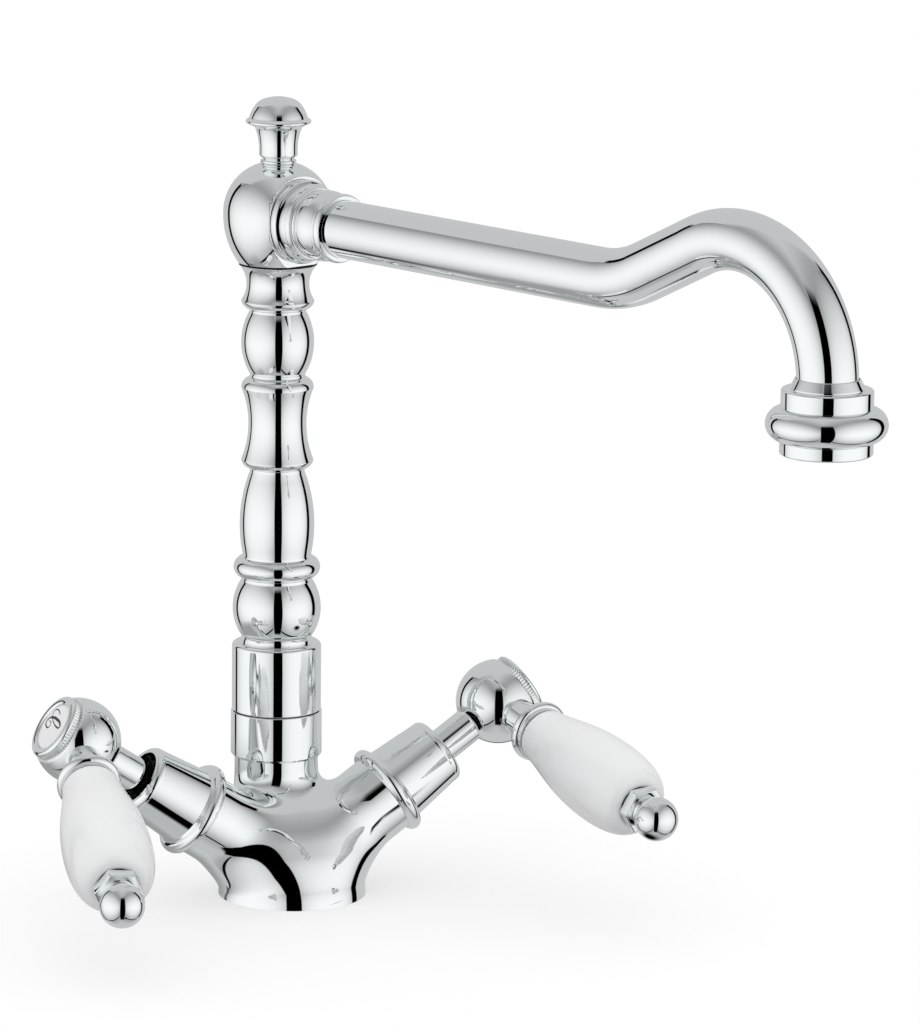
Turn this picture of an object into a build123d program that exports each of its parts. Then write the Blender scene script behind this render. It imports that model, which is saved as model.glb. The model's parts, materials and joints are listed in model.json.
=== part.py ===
from build123d import *
import os
from math import asin, cos, pi, radians, sin, sqrt, tan

# Two handle kitchen faucet. Millimetres, +Z up, the user stands at -Y.
# The origin is the centre of the foot on the deck; the column stands a little behind it.

# --- clearances
SLIDE_FIT = 0.05          # radial clearance of a turning or screwed fit
FILM = 0.05               # gap between the two ceramic discs
SEAM_GAP = 0.3            # open seam between parts that turn against each other
SLACK = 0.1               # room beside seals, washers and inserts
ORING_SLACK = 0.02

# --- foot, neck and arms of the casting
FOOT_R = 23.9             # covers a 35 mm tap hole
FOOT_WALL = 7.0           # upright wall of the foot
COLUMN_Y = 14.2           # column axis behind the foot's centre
NECK_R = 13.3
SADDLE_H = 30.0           # the foot leans back into the neck over this height
# saddle sections: share of its height, share of the way back, radius
SADDLE_SECTIONS = ((0.0, 0.0, FOOT_R), (0.43, 0.60, 17.6), (0.77, 0.93, 14.2), (1.0, 1.0, NECK_R))
NECK_PLAIN_H = 5.2        # round neck above the saddle, up to the shoulder
NECK_THREAD_R = 12.0
NECK_THREAD_H = 12.4
NECK_BORE_R = 9.25
NECK_BORE_DEPTH = 20.6
MIXING_R = 6.0
MIXING_H = 6.0
ARM_TILT = 33.6           # degrees above the deck
ARM_Y = 2.0               # both arm axes meet at (0, ARM_Y, ARM_Z)
ARM_Z = 7.8
ARM_R = 13.1
ARM_ROOT_R = 15.2         # the arm swells towards the foot
ARM_END = 38.0            # distance along the arm axis to its end face
PORT_R = 4.5
PORT_L = 9.0
CARTRIDGE_R = 8.4
CARTRIDGE_L = 20.0
GALLERY_R = 10.2          # ring channel round the headwork
GALLERY_L = 6.5
GALLERY_TO_FACE = 8.0
MIXING_PASSAGE_R = 3.0
GASKET_R = 22.4
GASKET_W = 2.8
GASKET_H = 1.5

# --- interfaces under the foot
STUD_HOLE_R = 3.4         # tapping size for M8
STUD_HOLE_DEPTH = 12.0
INLET_X = 12.5            # hot at -X, cold at +X
INLET_R = 4.5             # tapping size for M10x1
INLET_DEPTH = 8.5
INLET_PASSAGE_R = 3.5

# --- swivel joint between neck and spout
SWIVEL_RING_R = 14.5
SWIVEL_RING_H = 14.7
SWIVEL_RING_CHAMFER = 0.8
WASHER_H = 1.3
SPIGOT_WALL = 3.2
SPIGOT_FLOOR_GAP = 2.5    # spigot's end above the floor of the neck bore
DOG_RISE = 6.3            # grub screw above the neck's shoulder
DOG_R = 1.8
DOG_GROOVE_DEPTH = 1.4
SCREW_R = 2.45
SCREW_KEY = 2.5
SPIGOT_ORING_RISE = (3.0, 7.0)
ORING_GROOVE_DEPTH = 2.1
ORING_GROOVE_H = 2.2

# --- headwork under each cover
SEAL_H = 1.2
SEAL_W = 3.6
DISC_R = 6.7
DISC_PORT_R = 1.9
DISC_PORT_OFFSET = 3.5
FIXED_DISC_H = 3.0
MOVING_DISC_H = 2.4
DRIVE_R = 6.5
DRIVE_H = 1.6
CORE_R = 3.8
CORE_L = 4.8              # slim part of the spindle between drive plate and gland
GLAND_R = 5.2
GLAND_L = 5.0
GLAND_ORING_RISE = (1.4, 3.6)
GLAND_GROOVE_DEPTH = 1.3
GLAND_GROOVE_H = 1.6
SPINDLE_R = 3.5
SPINDLE_TAP_R = 2.1
SPINDLE_TAP_L = 10.0
WINDOW_W = 5.0            # outlets in the headwork's wall
WINDOW_L = 4.5
BONNET_SEAT_RELIEF = 0.8
BONNET_HEX = 19.0         # across flats
BONNET_HEX_H = 4.5
BONNET_THREAD_R = 9.6
BONNET_THREAD_H = 5.5
BONNET_NECK_R = 7.0
BONNET_NECK_H = 6.0
BONNET_ORING_TO_FACE = 4.0
CLIP_H = 0.9
CLIP_INNER_R = 3.05
CLIP_R = 5.0

# --- valve cover, the tapered bell with its bead
BEAD_R = 2.2
BEAD_OUT_R = 15.4
COVER_BASE_R = 12.5
COVER_TOP_R = 11.1
COVER_H = 24.2
COVER_ROUND = 2.6         # rounded end of the bell
COVER_RIM_R = 9.8
COVER_MOUTH_R = 8.7
COVER_WALL = 1.3

# --- hub on the spindle
HUB_R = 13.6
HUB_OUT = 48.6            # hub centre beyond the arm's end face
STEM_R = 5.56
STEM_GAP = 0.8            # sleeve's end above the clip
STEM_SEAT_DEPTH = 1.0
HUB_FLAT = 7.2            # hub centre to its outer flat
SPINDLE_STEP_BACK = 2.2   # spindle's end short of the hub centre
SCREW_LAND = 1.8          # hub metal under the head of its screw
INDEX_R = 10.6
INDEX_H = 3.2
INDEX_WINDOW_R = 7.8
INDEX_DISC_H = 1.4
INDEX_FLOOR = 1.2
INDEX_SPIGOT_R = 4.5
INDEX_SPIGOT_H = 2.0
INDEX_SPIGOT_WALL = 1.1
KNURL_COUNT = 60
KNURL_R = 0.32
HUB_SCREW_R = 2.05
HUB_SCREW_L = 8.0
HUB_SCREW_HEAD_R = 4.4
HUB_SCREW_HEAD_H = 3.0
HUB_SCREW_KEY = 3.0
KEY_DEPTH = 1.8

# --- levers, square to the arm axis; turn 0 hangs down and out, 90 points to the user
HOT_LEVER_TURN = 68.6
COLD_LEVER_TURN = 76.6
COLLAR_SEAT = 11.6        # from the hub centre, along the lever
COLLAR_NECK_R = 5.8
COLLAR_NECK_L = 7.4
COLLAR_FLARE_L = 4.3
COLLAR_BEAD_R = 1.7
COLLAR_BEAD_OUT_R = 10.0
COLLAR_END_R = 8.8
COLLAR_END_L = 1.3
ROD_R = 3.0
ROD_IN_HUB = 3.9          # the rod screws this far into the hub
GRIP_WASHER_H = 0.6
NEAR_WASHER_R = 7.6
FAR_WASHER_R = 6.2
GRIP_L = 55.8
GRIP_BELLY_R = 14.1
GRIP_BELLY_L = 36.4       # from the grip's near end
GRIP_START_R = 9.0
GRIP_TIP_R = 7.9
GRIP_EDGE = 0.9
GRIP_BORE_R = 3.5
NUT_HEX = 12.2            # across flats
NUT_H = 3.7
NUT_CHAMFER = 0.6
BALL_R = 6.9
BALL_COLLAR_R = 5.0
BALL_COLLAR_H = 0.85
BALL_WALL = 5.1           # ball metal beyond the rod's end

# --- spout column: a sleeve, then one turned baluster
SLEEVE_R = 14.2
SLEEVE_H = 21.8
SLEEVE_EDGE = 1.2
TENON_R = 8.0
TENON_H = 10.0
TOP_TENON_H = 5.0
TENON_GROOVE_DEPTH = 1.8
TENON_GROOVE_H = 2.0
COLUMN_BORE_R = 5.0
COLUMN_FOOT_R = 11.7
# each turned member from the bottom up: height, radius at half its height, radius at its top
SCOTIA = (3.4, 11.25, 12.0)
BALL = (16.8, 14.0, 11.3)
BALL_FILLET = (1.0, 11.25, 11.2)
BEAD = (6.5, 13.75, 11.0)
BEAD_FILLET = (0.9, 10.95, 10.9)
BARREL = (26.6, 11.7, 8.7)
BARREL_FILLET = (1.2, 8.7, 8.7)
SPOOL_FOOT = (2.6, 10.9, 11.45)
SPOOL = (23.2, 9.18, 11.45)
SPOOL_HEAD = (3.1, 11.1, 9.3)
SPOOL_FILLET = (1.3, 8.8, 8.75)
SMALL_BARREL = (19.9, 11.5, 8.95)
SMALL_FILLET = (0.8, 8.95, 8.95)
BELL_FOOT = (2.7, 11.0, 11.55)
BELL = (11.6, 9.72, 11.6)
COLUMN_MEMBERS = (
    SCOTIA, BALL, BALL_FILLET, BEAD, BEAD_FILLET, BARREL, BARREL_FILLET, SPOOL_FOOT, SPOOL,
    SPOOL_HEAD, SPOOL_FILLET, SMALL_BARREL, SMALL_FILLET, BELL_FOOT, BELL,
)

# --- elbow and finial
ELBOW_R = 17.25
ELBOW_DROP = 14.8         # spout axis above the column's top
ELBOW_RISE = 16.5         # elbow's top above the spout axis
ELBOW_FOOT_R = 12.2
ELBOW_FOOT_H = 0.7
ELBOW_TOP_R = 5.3
ELBOW_FLAT = 11.3         # from the column axis to the spout face
ELBOW_BORE_R = 7.0
NOSE_R = 10.2
NOSE_L = 4.7
NOSE_ROOT = 1.0           # the nose starts inside the ball
FINIAL_STUD_R = 2.5
FINIAL_STUD_H = 8.0
# heights and radii of the finial from its seat up
FINIAL_BEAD_H = 1.5
FINIAL_BEAD_R = 5.35
FINIAL_WAIST_R = 4.7
CUP_FOOT_H = 2.5
CUP_FOOT_R = 5.5
CUP_H = 10.7
CUP_LOW_R = 6.45
CUP_RIM_R = 10.1
CUP_LIP = 0.8             # the cup flares into this lip
LID_RIM_H = 1.4
LID_RIM_SWELL = 0.3
LID_BROW_R = 9.3
LID_WAIST_H = 3.4
LID_WAIST_R = 8.2
LID_SHOULDER_H = 2.8
LID_SHOULDER_R = 5.0
LID_CAP_H = 0.7

# --- spout
SPOUT_TURN = 17.7         # the spout's swivel away from straight ahead, towards +X
TUBE_R = 9.0
TUBE_WALL = 1.2
SPOUT_SEAL_H = 1.2
TUBE_INSERT = 8.0         # from the column axis to the tube's end in the elbow
TUBE_STRAIGHT = 147.6     # from the column axis to the first bend
DIP_RADIUS = 46.0
DIP_ANGLE = 25.1
RISE = 24.7               # straight run between the two bends
CREST_RADIUS = 37.2
# turned members of the nut from the elbow out: length, radius at half of it, radius at its end
NUT_FLANGE_R = 12.3
NUT_FLANGE = (2.9, 13.25, 12.5)
NUT_TAPER = (1.7, 11.6, 11.1)
NUT_RING = (2.8, 11.75, 11.2)
NUT_WAIST = (0.9, 10.4, 10.4)
NUT_BARREL = (7.7, 11.15, 10.1)
NUT_GROOVE = (0.9, 9.9, 9.95)
NUT_BEAD = (3.2, 10.85, 10.2)
NUT_MEMBERS = (NUT_FLANGE, NUT_TAPER, NUT_RING, NUT_WAIST, NUT_BARREL, NUT_GROOVE, NUT_BEAD)

# --- outlet, from the tube's last bend down
CONE_ABOVE_BEND = 2.1
CONE_H = 3.1
CONE_TOP_R = 9.45
CONE_R = 10.8
RIM_R = 13.35
RIM_H = 5.3
RIM_EDGE = 0.4
OUTLET_BEAD_R = 4.9
OUTLET_BEAD_OUT_R = 17.7
OUTLET_THREAD_R = 11.0    # M24x1 aerator
OUTLET_THREAD_H = 5.6
LEDGE_H = 1.0
HOUSING_R = 13.5
HOUSING_H = 3.9
HOUSING_WALL = 1.6
HOUSING_LIP_R = 8.6
AERATOR_SEAL_H = 1.0
AERATOR_SEAL_W = 2.7
INSERT_LIP_H = 1.5
INSERT_H = 6.5
MESH_HOLE_R = 0.75
MESH_PITCH = 2.3
MESH_MARGIN = 0.3

# --- heights that follow, from the foot up
SADDLE_TOP_Z = FOOT_WALL + SADDLE_H
SHOULDER_Z = SADDLE_TOP_Z + NECK_PLAIN_H          # the swivel ring rests here
NECK_TOP_Z = SHOULDER_Z + NECK_THREAD_H
NECK_FLOOR_Z = NECK_TOP_Z - NECK_BORE_DEPTH
MIXING_FLOOR_Z = NECK_FLOOR_Z - MIXING_H
SPIGOT_BOTTOM_Z = NECK_FLOOR_Z + SPIGOT_FLOOR_GAP
DOG_Z = SHOULDER_Z + DOG_RISE
RING_TOP_Z = SHOULDER_Z + SWIVEL_RING_H
SLEEVE_BOTTOM_Z = RING_TOP_Z + SEAM_GAP
WASHER_Z = SLEEVE_BOTTOM_Z - WASHER_H
SLEEVE_TOP_Z = SLEEVE_BOTTOM_Z + SLEEVE_H
COLUMN_TOP_Z = SLEEVE_TOP_Z + sum(member[0] for member in COLUMN_MEMBERS)
SPOUT_Z = COLUMN_TOP_Z + ELBOW_DROP
ELBOW_TOP_Z = SPOUT_Z + ELBOW_RISE
FINIAL_STUD_Z = ELBOW_TOP_Z - FINIAL_STUD_H
DIP_CLIMB = DIP_RADIUS * (1 - cos(radians(DIP_ANGLE))) + RISE * sin(radians(DIP_ANGLE))
BEND_END_Z = SPOUT_Z + DIP_CLIMB - CREST_RADIUS * cos(radians(DIP_ANGLE))
CONE_TOP_Z = BEND_END_Z + CONE_ABOVE_BEND
RIM_TOP_Z = CONE_TOP_Z - CONE_H
OUTLET_BEAD_TOP_Z = RIM_TOP_Z - RIM_H
OUTLET_BEAD_Z = OUTLET_BEAD_TOP_Z - OUTLET_BEAD_R
OUTLET_FACE_Z = OUTLET_BEAD_Z - OUTLET_BEAD_R
HOUSING_TOP_Z = OUTLET_FACE_Z + OUTLET_THREAD_H
LEDGE_Z = HOUSING_TOP_Z + AERATOR_SEAL_H
TUBE_END_Z = LEDGE_Z + LEDGE_H
HOUSING_BOTTOM_Z = OUTLET_FACE_Z - HOUSING_H
INSERT_Z = HOUSING_BOTTOM_Z + INSERT_LIP_H

# --- distances that follow, along an arm axis from the middle out
SEAT = ARM_END - CARTRIDGE_L
GALLERY_END = ARM_END - GALLERY_TO_FACE
GALLERY_START = GALLERY_END - GALLERY_L
BONNET_START = SEAT + SEAL_H
DISC_FACE = BONNET_START + FIXED_DISC_H
DRIVE_START = DISC_FACE + FILM + MOVING_DISC_H
DRIVE_END = DRIVE_START + DRIVE_H
GLAND_START = DRIVE_END + CORE_L
GLAND_END = GLAND_START + GLAND_L
HEX_END = ARM_END + BONNET_HEX_H
BONNET_THREAD_END = HEX_END + BONNET_THREAD_H
BONNET_END = BONNET_THREAD_END + BONNET_NECK_H
CLIP_START = BONNET_END + SLIDE_FIT
COVER_END = ARM_END + COVER_H
HUB_S = ARM_END + HUB_OUT
STEM_START = CLIP_START + CLIP_H + STEM_GAP
STEM_END = HUB_S - sqrt(HUB_R**2 - STEM_R**2) + STEM_SEAT_DEPTH
SPINDLE_END = HUB_S - SPINDLE_STEP_BACK
SCREW_SEAT = SPINDLE_END + SCREW_LAND
SCREW_HEAD_END = SCREW_SEAT + HUB_SCREW_HEAD_H
INDEX_START = HUB_S + HUB_FLAT
INDEX_END = INDEX_START + INDEX_H
INDEX_FACE = INDEX_START + INDEX_FLOOR

# --- distances that follow, along a lever from the hub centre
ROD_START = COLLAR_SEAT - ROD_IN_HUB
FLARE_START = COLLAR_SEAT + COLLAR_NECK_L
FLARE_END = FLARE_START + COLLAR_FLARE_L
COLLAR_BEAD_L = FLARE_END + COLLAR_BEAD_R
COLLAR_END = COLLAR_BEAD_L + COLLAR_BEAD_R + COLLAR_END_L
GRIP_START = COLLAR_END + GRIP_WASHER_H
GRIP_END = GRIP_START + GRIP_L
NUT_START = GRIP_END + GRIP_WASHER_H
NUT_TOP = NUT_START + NUT_H
BALL_L = NUT_TOP + BALL_COLLAR_H + sqrt(BALL_R**2 - BALL_COLLAR_R**2)
ROD_END = BALL_L + BALL_R - BALL_WALL

# --- radii and reach that follow
ARM_BORE_R = CARTRIDGE_R + SLIDE_FIT
SPIGOT_R = NECK_BORE_R - SLIDE_FIT
DOG_GROOVE_R = SPIGOT_R - DOG_GROOVE_DEPTH
SPIGOT_GROOVE_R = SPIGOT_R - ORING_GROOVE_DEPTH
BONNET_GROOVE_R = CARTRIDGE_R - ORING_GROOVE_DEPTH + BONNET_SEAT_RELIEF
GLAND_GROOVE_R = GLAND_R - GLAND_GROOVE_DEPTH
TENON_GROOVE_R = TENON_R - TENON_GROOVE_DEPTH
TENON_SOCKET_R = TENON_R + SLIDE_FIT
ROD_HOLE_R = ROD_R + SLIDE_FIT
STEM_BORE_R = SPINDLE_R + SLIDE_FIT
TUBE_BORE_R = TUBE_R - TUBE_WALL
TUBE_SEAT_R = TUBE_R + SLIDE_FIT
NOSE_END = ELBOW_FLAT + NOSE_L
TUBE_SEAT = TUBE_INSERT - SPOUT_SEAL_H
HOUSING_BORE_R = OUTLET_THREAD_R - HOUSING_WALL
REACH = (
    TUBE_STRAIGHT
    + (DIP_RADIUS + CREST_RADIUS) * sin(radians(DIP_ANGLE))
    + RISE * cos(radians(DIP_ANGLE))
    + CREST_RADIUS
)

HOT, COLD = -1, 1
SIDE_NAMES = {HOT: "hot", COLD: "cold"}
LEVER_TURN = {HOT: HOT_LEVER_TURN, COLD: COLD_LEVER_TURN}


def turned(*steps):
    """Solid of revolution about +Z from its half section. A step (r, z) is a straight run to
    that point; a step (r1, z1, r2, z2) is an arc through the first point to the second."""
    edges = []
    here = steps[0]
    for step in steps[1:] + steps[:1]:
        there = step[-2:]
        if len(step) == 4:
            through = (step[0], 0, step[1])
            edges.append(ThreePointArc((here[0], 0, here[1]), through, (there[0], 0, there[1])))
        elif there != here:
            edges.append(Line((here[0], 0, here[1]), (there[0], 0, there[1])))
        here = there
    return Solid(revolve(make_face(edges), Axis.Z, 360).solids()[0].wrapped)


def members(start_r, start_z, stack):
    """Outline steps of turned members stacked upward: straight where the middle radius lies
    on the chord, otherwise an arc."""
    steps = [(start_r, start_z)]
    radius, height = start_r, start_z
    for length, middle_r, end_r in stack:
        if abs(middle_r - (radius + end_r) / 2) < 1e-3:
            steps.append((end_r, height + length))
        else:
            steps.append((middle_r, height + length / 2, end_r, height + length))
        radius, height = end_r, height + length
    return steps


def tube(inner, outer, low, high):
    """Plain ring or sleeve between two heights on +Z."""
    return turned((inner, low), (outer, low), (outer, high), (inner, high))


def rod(radius, low, high):
    return turned((0, low), (radius, low), (radius, high), (0, high))


def groove(floor, face, width, height):
    """What a ring groove takes out of a round face."""
    return tube(floor, face + 1, height - width / 2, height + width / 2)


def oring(floor, bore, height):
    """O-ring that all but fills the space between its groove and the bore round it."""
    section = (bore - floor) / 2 - ORING_SLACK
    return Solid.make_torus((bore + floor) / 2, section).moved(Pos(0, 0, height))


def dome(radius, low, top):
    """Arc step from (radius, low) over to the axis at the top, its centre on the axis."""
    rise = top - low
    sphere = (radius**2 + rise**2) / (2 * rise)
    half = asin(radius / sphere) / 2
    return (sphere * sin(half), top - sphere * (1 - cos(half)), 0, top)


def hexagon(across_flats, low, high):
    sketch = Plane((0, 0, low)) * RegularPolygon(across_flats / 2, 6, major_radius=False)
    return extrude(sketch, high - low)


# --- frames

def arm_axis(side):
    return Vector(side * cos(radians(ARM_TILT)), 0, sin(radians(ARM_TILT)))


def arm_point(side, distance):
    return Vector(0, ARM_Y, ARM_Z) + arm_axis(side) * distance


def on_arm(side):
    """+Z runs out along the arm, +X to the back."""
    return Plane(origin=(0, ARM_Y, ARM_Z), x_dir=(0, 1, 0), z_dir=arm_axis(side)).location


def lever_axis(side):
    """Square to the arm axis, turned from down and out towards the user."""
    turn = radians(LEVER_TURN[side])
    outward = Vector(side * sin(radians(ARM_TILT)), 0, -cos(radians(ARM_TILT)))
    return outward * cos(turn) + Vector(0, -1, 0) * sin(turn)


def on_lever(side):
    return Plane(origin=arm_point(side, HUB_S), x_dir=arm_axis(side), z_dir=lever_axis(side)).location


def on_column():
    return Pos(0, COLUMN_Y, 0)


def spout_axis():
    return Vector(sin(radians(SPOUT_TURN)), -cos(radians(SPOUT_TURN)), 0)


def on_spout():
    """+Z runs along the straight spout from the column axis, +X is up."""
    return Plane(origin=(0, COLUMN_Y, SPOUT_Z), x_dir=(0, 0, 1), z_dir=spout_axis()).location


def on_outlet():
    mouth = Vector(0, COLUMN_Y, 0) + spout_axis() * REACH
    return Pos(mouth.X, mouth.Y, 0)


def drilled(start, end, radius):
    """Cylinder between two points, for a cross passage."""
    run = end - start
    return Plane(origin=start, z_dir=run).location * rod(radius, 0, run.length)


# --- what stands still

def saddle():
    """The foot leans back and narrows into the round neck."""
    sections = []
    for rise, shift, radius in SADDLE_SECTIONS:
        plane = Plane((0, COLUMN_Y * shift, FOOT_WALL + SADDLE_H * rise))
        sections.append(plane * Circle(radius))
    return loft(sections)


def arm(side):
    """Round arm with a slightly swollen root."""
    root, swell_start, swell_end = ARM_END / 9, ARM_END / 3, ARM_END * 0.82
    swell = ((ARM_ROOT_R + 3 * ARM_R) / 4, (swell_start + swell_end) / 2)
    return on_arm(side) * turned(
        (0, root), (ARM_ROOT_R, root), (ARM_ROOT_R, swell_start), swell + (ARM_R, swell_end),
        (ARM_R, ARM_END), (0, ARM_END),
    )


def screw_hole():
    """Radial hole for the grub screw, at the rear of neck and ring."""
    return on_screw() * rod(SCREW_R + SLIDE_FIT, DOG_GROOVE_R, SWIVEL_RING_R * 2)


def on_screw():
    return Plane(origin=(0, COLUMN_Y, DOG_Z), z_dir=(0, 1, 0)).location


def body_casting():
    body = rod(FOOT_R, 0, FOOT_WALL) + saddle()
    body += on_column() * rod(NECK_R, FOOT_WALL + SADDLE_H / 3, SHOULDER_Z)
    body += on_column() * rod(NECK_THREAD_R, SHOULDER_Z, NECK_TOP_Z)
    for side in (HOT, COLD):
        body += arm(side)
    body -= Pos(0, 0, -FOOT_R) * rod(FOOT_R * 2, 0, FOOT_R)

    # under the foot, then the neck bore with its mixing chamber
    body -= rod(STUD_HOLE_R, 0, STUD_HOLE_DEPTH)
    body -= tube(GASKET_R - GASKET_W - SLACK, GASKET_R + SLACK, 0, GASKET_H)
    body -= on_column() * rod(NECK_BORE_R, NECK_FLOOR_Z, NECK_TOP_Z)
    body -= on_column() * rod(MIXING_R, MIXING_FLOOR_Z, NECK_FLOOR_Z)
    body -= screw_hole()

    # each side's inlet, port, seat bore, ring channel and passage to the mixing chamber
    mixing_point = Vector(0, COLUMN_Y, (MIXING_FLOOR_Z + NECK_FLOOR_Z) / 2)
    for side in (HOT, COLD):
        inlet = Pos(side * INLET_X, ARM_Y, 0)
        body -= inlet * rod(INLET_R, 0, INLET_DEPTH)
        body -= inlet * rod(INLET_PASSAGE_R, INLET_DEPTH, ARM_Z + INLET_X * tan(radians(ARM_TILT)))
        body -= on_arm(side) * rod(PORT_R, SEAT - PORT_L, SEAT)
        body -= on_arm(side) * rod(ARM_BORE_R, SEAT, ARM_END)
        body -= on_arm(side) * rod(GALLERY_R, GALLERY_START, GALLERY_END)
        middle = arm_point(side, (GALLERY_START + GALLERY_END) / 2)
        body -= drilled(mixing_point, middle, MIXING_PASSAGE_R)
    return body


def foot_gasket():
    return tube(GASKET_R - GASKET_W, GASKET_R, 0, GASKET_H)


def swivel_ring():
    inner = NECK_THREAD_R + SLIDE_FIT
    lip_bottom = NECK_TOP_Z + SLACK
    recess_r = NECK_THREAD_R + SLACK
    opening = NECK_BORE_R + SLACK
    ring = turned(
        (inner, SHOULDER_Z), (SWIVEL_RING_R - SWIVEL_RING_CHAMFER, SHOULDER_Z),
        (SWIVEL_RING_R, SHOULDER_Z + SWIVEL_RING_CHAMFER), (SWIVEL_RING_R, RING_TOP_Z),
        (recess_r, RING_TOP_Z), (recess_r, WASHER_Z), (opening, WASHER_Z),
        (opening, lip_bottom), (inner, lip_bottom),
    )
    return on_column() * ring - screw_hole()


def swivel_washer():
    return on_column() * tube(NECK_BORE_R + SLACK, NECK_THREAD_R, WASHER_Z, SLEEVE_BOTTOM_Z)


def swivel_screw():
    tip = DOG_GROOVE_R + SEAM_GAP
    head = SWIVEL_RING_R - 4 * SLACK
    screw = turned(
        (0, tip), (DOG_R, tip), (DOG_R, NECK_BORE_R), (SCREW_R, NECK_BORE_R + SCREW_R - DOG_R),
        (SCREW_R, head), (0, head),
    )
    screw -= hexagon(SCREW_KEY, head - KEY_DEPTH, head)
    return on_screw() * screw


def seat_seal(side):
    outer = ARM_BORE_R - SLACK
    return on_arm(side) * tube(outer - SEAL_W, outer, SEAT, BONNET_START)


def ported_disc(radius, low, high, angle):
    """Ceramic disc with its two round ports."""
    disc = rod(radius, low, high)
    for turn in (angle, angle + 180):
        disc -= Rot(0, 0, turn) * Pos(DISC_PORT_OFFSET, 0, 0) * rod(DISC_PORT_R, low, high)
    return disc


def fixed_disc(side):
    return on_arm(side) * ported_disc(DISC_R, BONNET_START, DISC_FACE, 0)


def bonnet(side):
    """Headwork: slim nose with two windows, thread into the arm, hexagon, thread for the cover."""
    nose_r = CARTRIDGE_R - BONNET_SEAT_RELIEF
    nose_end = GALLERY_START - 2 * BONNET_SEAT_RELIEF
    shell = turned(
        (STEM_BORE_R, BONNET_START), (nose_r, BONNET_START), (nose_r, nose_end),
        (CARTRIDGE_R, nose_end + BONNET_SEAT_RELIEF), (CARTRIDGE_R, ARM_END),
        (BONNET_THREAD_R, ARM_END), (BONNET_THREAD_R, BONNET_THREAD_END),
        (BONNET_NECK_R, BONNET_THREAD_END), (BONNET_NECK_R, BONNET_END), (STEM_BORE_R, BONNET_END),
    )
    shell += hexagon(BONNET_HEX, ARM_END, HEX_END)
    shell -= rod(STEM_BORE_R, ARM_END, HEX_END)
    shell -= rod(DISC_R + SLACK, BONNET_START, GLAND_START + SLIDE_FIT)
    shell -= rod(GLAND_R + SLIDE_FIT, GLAND_START, GLAND_END + SLIDE_FIT)
    shell -= groove(BONNET_GROOVE_R, CARTRIDGE_R, ORING_GROOVE_H, ARM_END - BONNET_ORING_TO_FACE)
    window = Box(4 * CARTRIDGE_R, WINDOW_W, WINDOW_L)
    shell -= Pos(0, 0, (GALLERY_START + GALLERY_END) / 2) * window
    return on_arm(side) * shell


def bonnet_oring(side):
    return on_arm(side) * oring(BONNET_GROOVE_R, ARM_BORE_R, ARM_END - BONNET_ORING_TO_FACE)


def valve_cover(side):
    """Bead at the foot, tapered bell, rounded end with a round mouth for the stem."""
    ring_r = BEAD_OUT_R - BEAD_R
    bead_end = ARM_END + 2 * BEAD_R
    round_start = COVER_END - COVER_ROUND
    thread = BONNET_THREAD_R + SLIDE_FIT
    hex_room = COVER_BASE_R - COVER_WALL
    cavity = COVER_TOP_R - COVER_WALL
    return on_arm(side) * turned(
        (hex_room, ARM_END), (ring_r, ARM_END), (BEAD_OUT_R, ARM_END + BEAD_R, ring_r, bead_end),
        (COVER_BASE_R, bead_end + BEAD_R / 4), (COVER_TOP_R, round_start),
        ((COVER_TOP_R * 0.73 + COVER_RIM_R * 0.27), COVER_END - COVER_ROUND / 3, COVER_RIM_R, COVER_END),
        (COVER_MOUTH_R, COVER_END), (COVER_MOUTH_R, COVER_END - COVER_WALL),
        (cavity, round_start - COVER_WALL), (cavity, BONNET_THREAD_END), (thread, BONNET_THREAD_END),
        (thread, HEX_END + SEAM_GAP), (hex_room, HEX_END + SEAM_GAP),
    )


# --- what turns with each handle

def moving_disc(side):
    low = DISC_FACE + FILM
    return on_arm(side) * ported_disc(DISC_R - SLACK, low, DRIVE_START, 90)


def spindle(side):
    shaft = turned(
        (0, DRIVE_START), (DRIVE_R, DRIVE_START), (DRIVE_R, DRIVE_END), (CORE_R, DRIVE_END),
        (CORE_R, GLAND_START), (GLAND_R, GLAND_START), (GLAND_R, GLAND_END),
        (SPINDLE_R, GLAND_END), (SPINDLE_R, SPINDLE_END), (0, SPINDLE_END),
    )
    for rise in GLAND_ORING_RISE:
        shaft -= groove(GLAND_GROOVE_R, GLAND_R, GLAND_GROOVE_H, GLAND_START + rise)
    shaft -= groove(CLIP_INNER_R - SLIDE_FIT, SPINDLE_R, CLIP_H, CLIP_START + CLIP_H / 2)
    shaft -= rod(SPINDLE_TAP_R, SPINDLE_END - SPINDLE_TAP_L, SPINDLE_END)
    return on_arm(side) * shaft


def spindle_orings(side):
    bore = GLAND_R + SLIDE_FIT
    rings = [oring(GLAND_GROOVE_R, bore, GLAND_START + rise) for rise in GLAND_ORING_RISE]
    return Compound(children=[on_arm(side) * ring for ring in rings])


def spindle_clip(side):
    ring = tube(CLIP_INNER_R, CLIP_R, CLIP_START, CLIP_START + CLIP_H)
    ring -= Pos(CLIP_R, 0, CLIP_START + CLIP_H / 2) * Box(2 * CLIP_R, CLIP_INNER_R, 2 * CLIP_H)
    return on_arm(side) * ring


def stem_sleeve(side):
    return on_arm(side) * tube(STEM_BORE_R, STEM_R, STEM_START, STEM_END)


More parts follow.
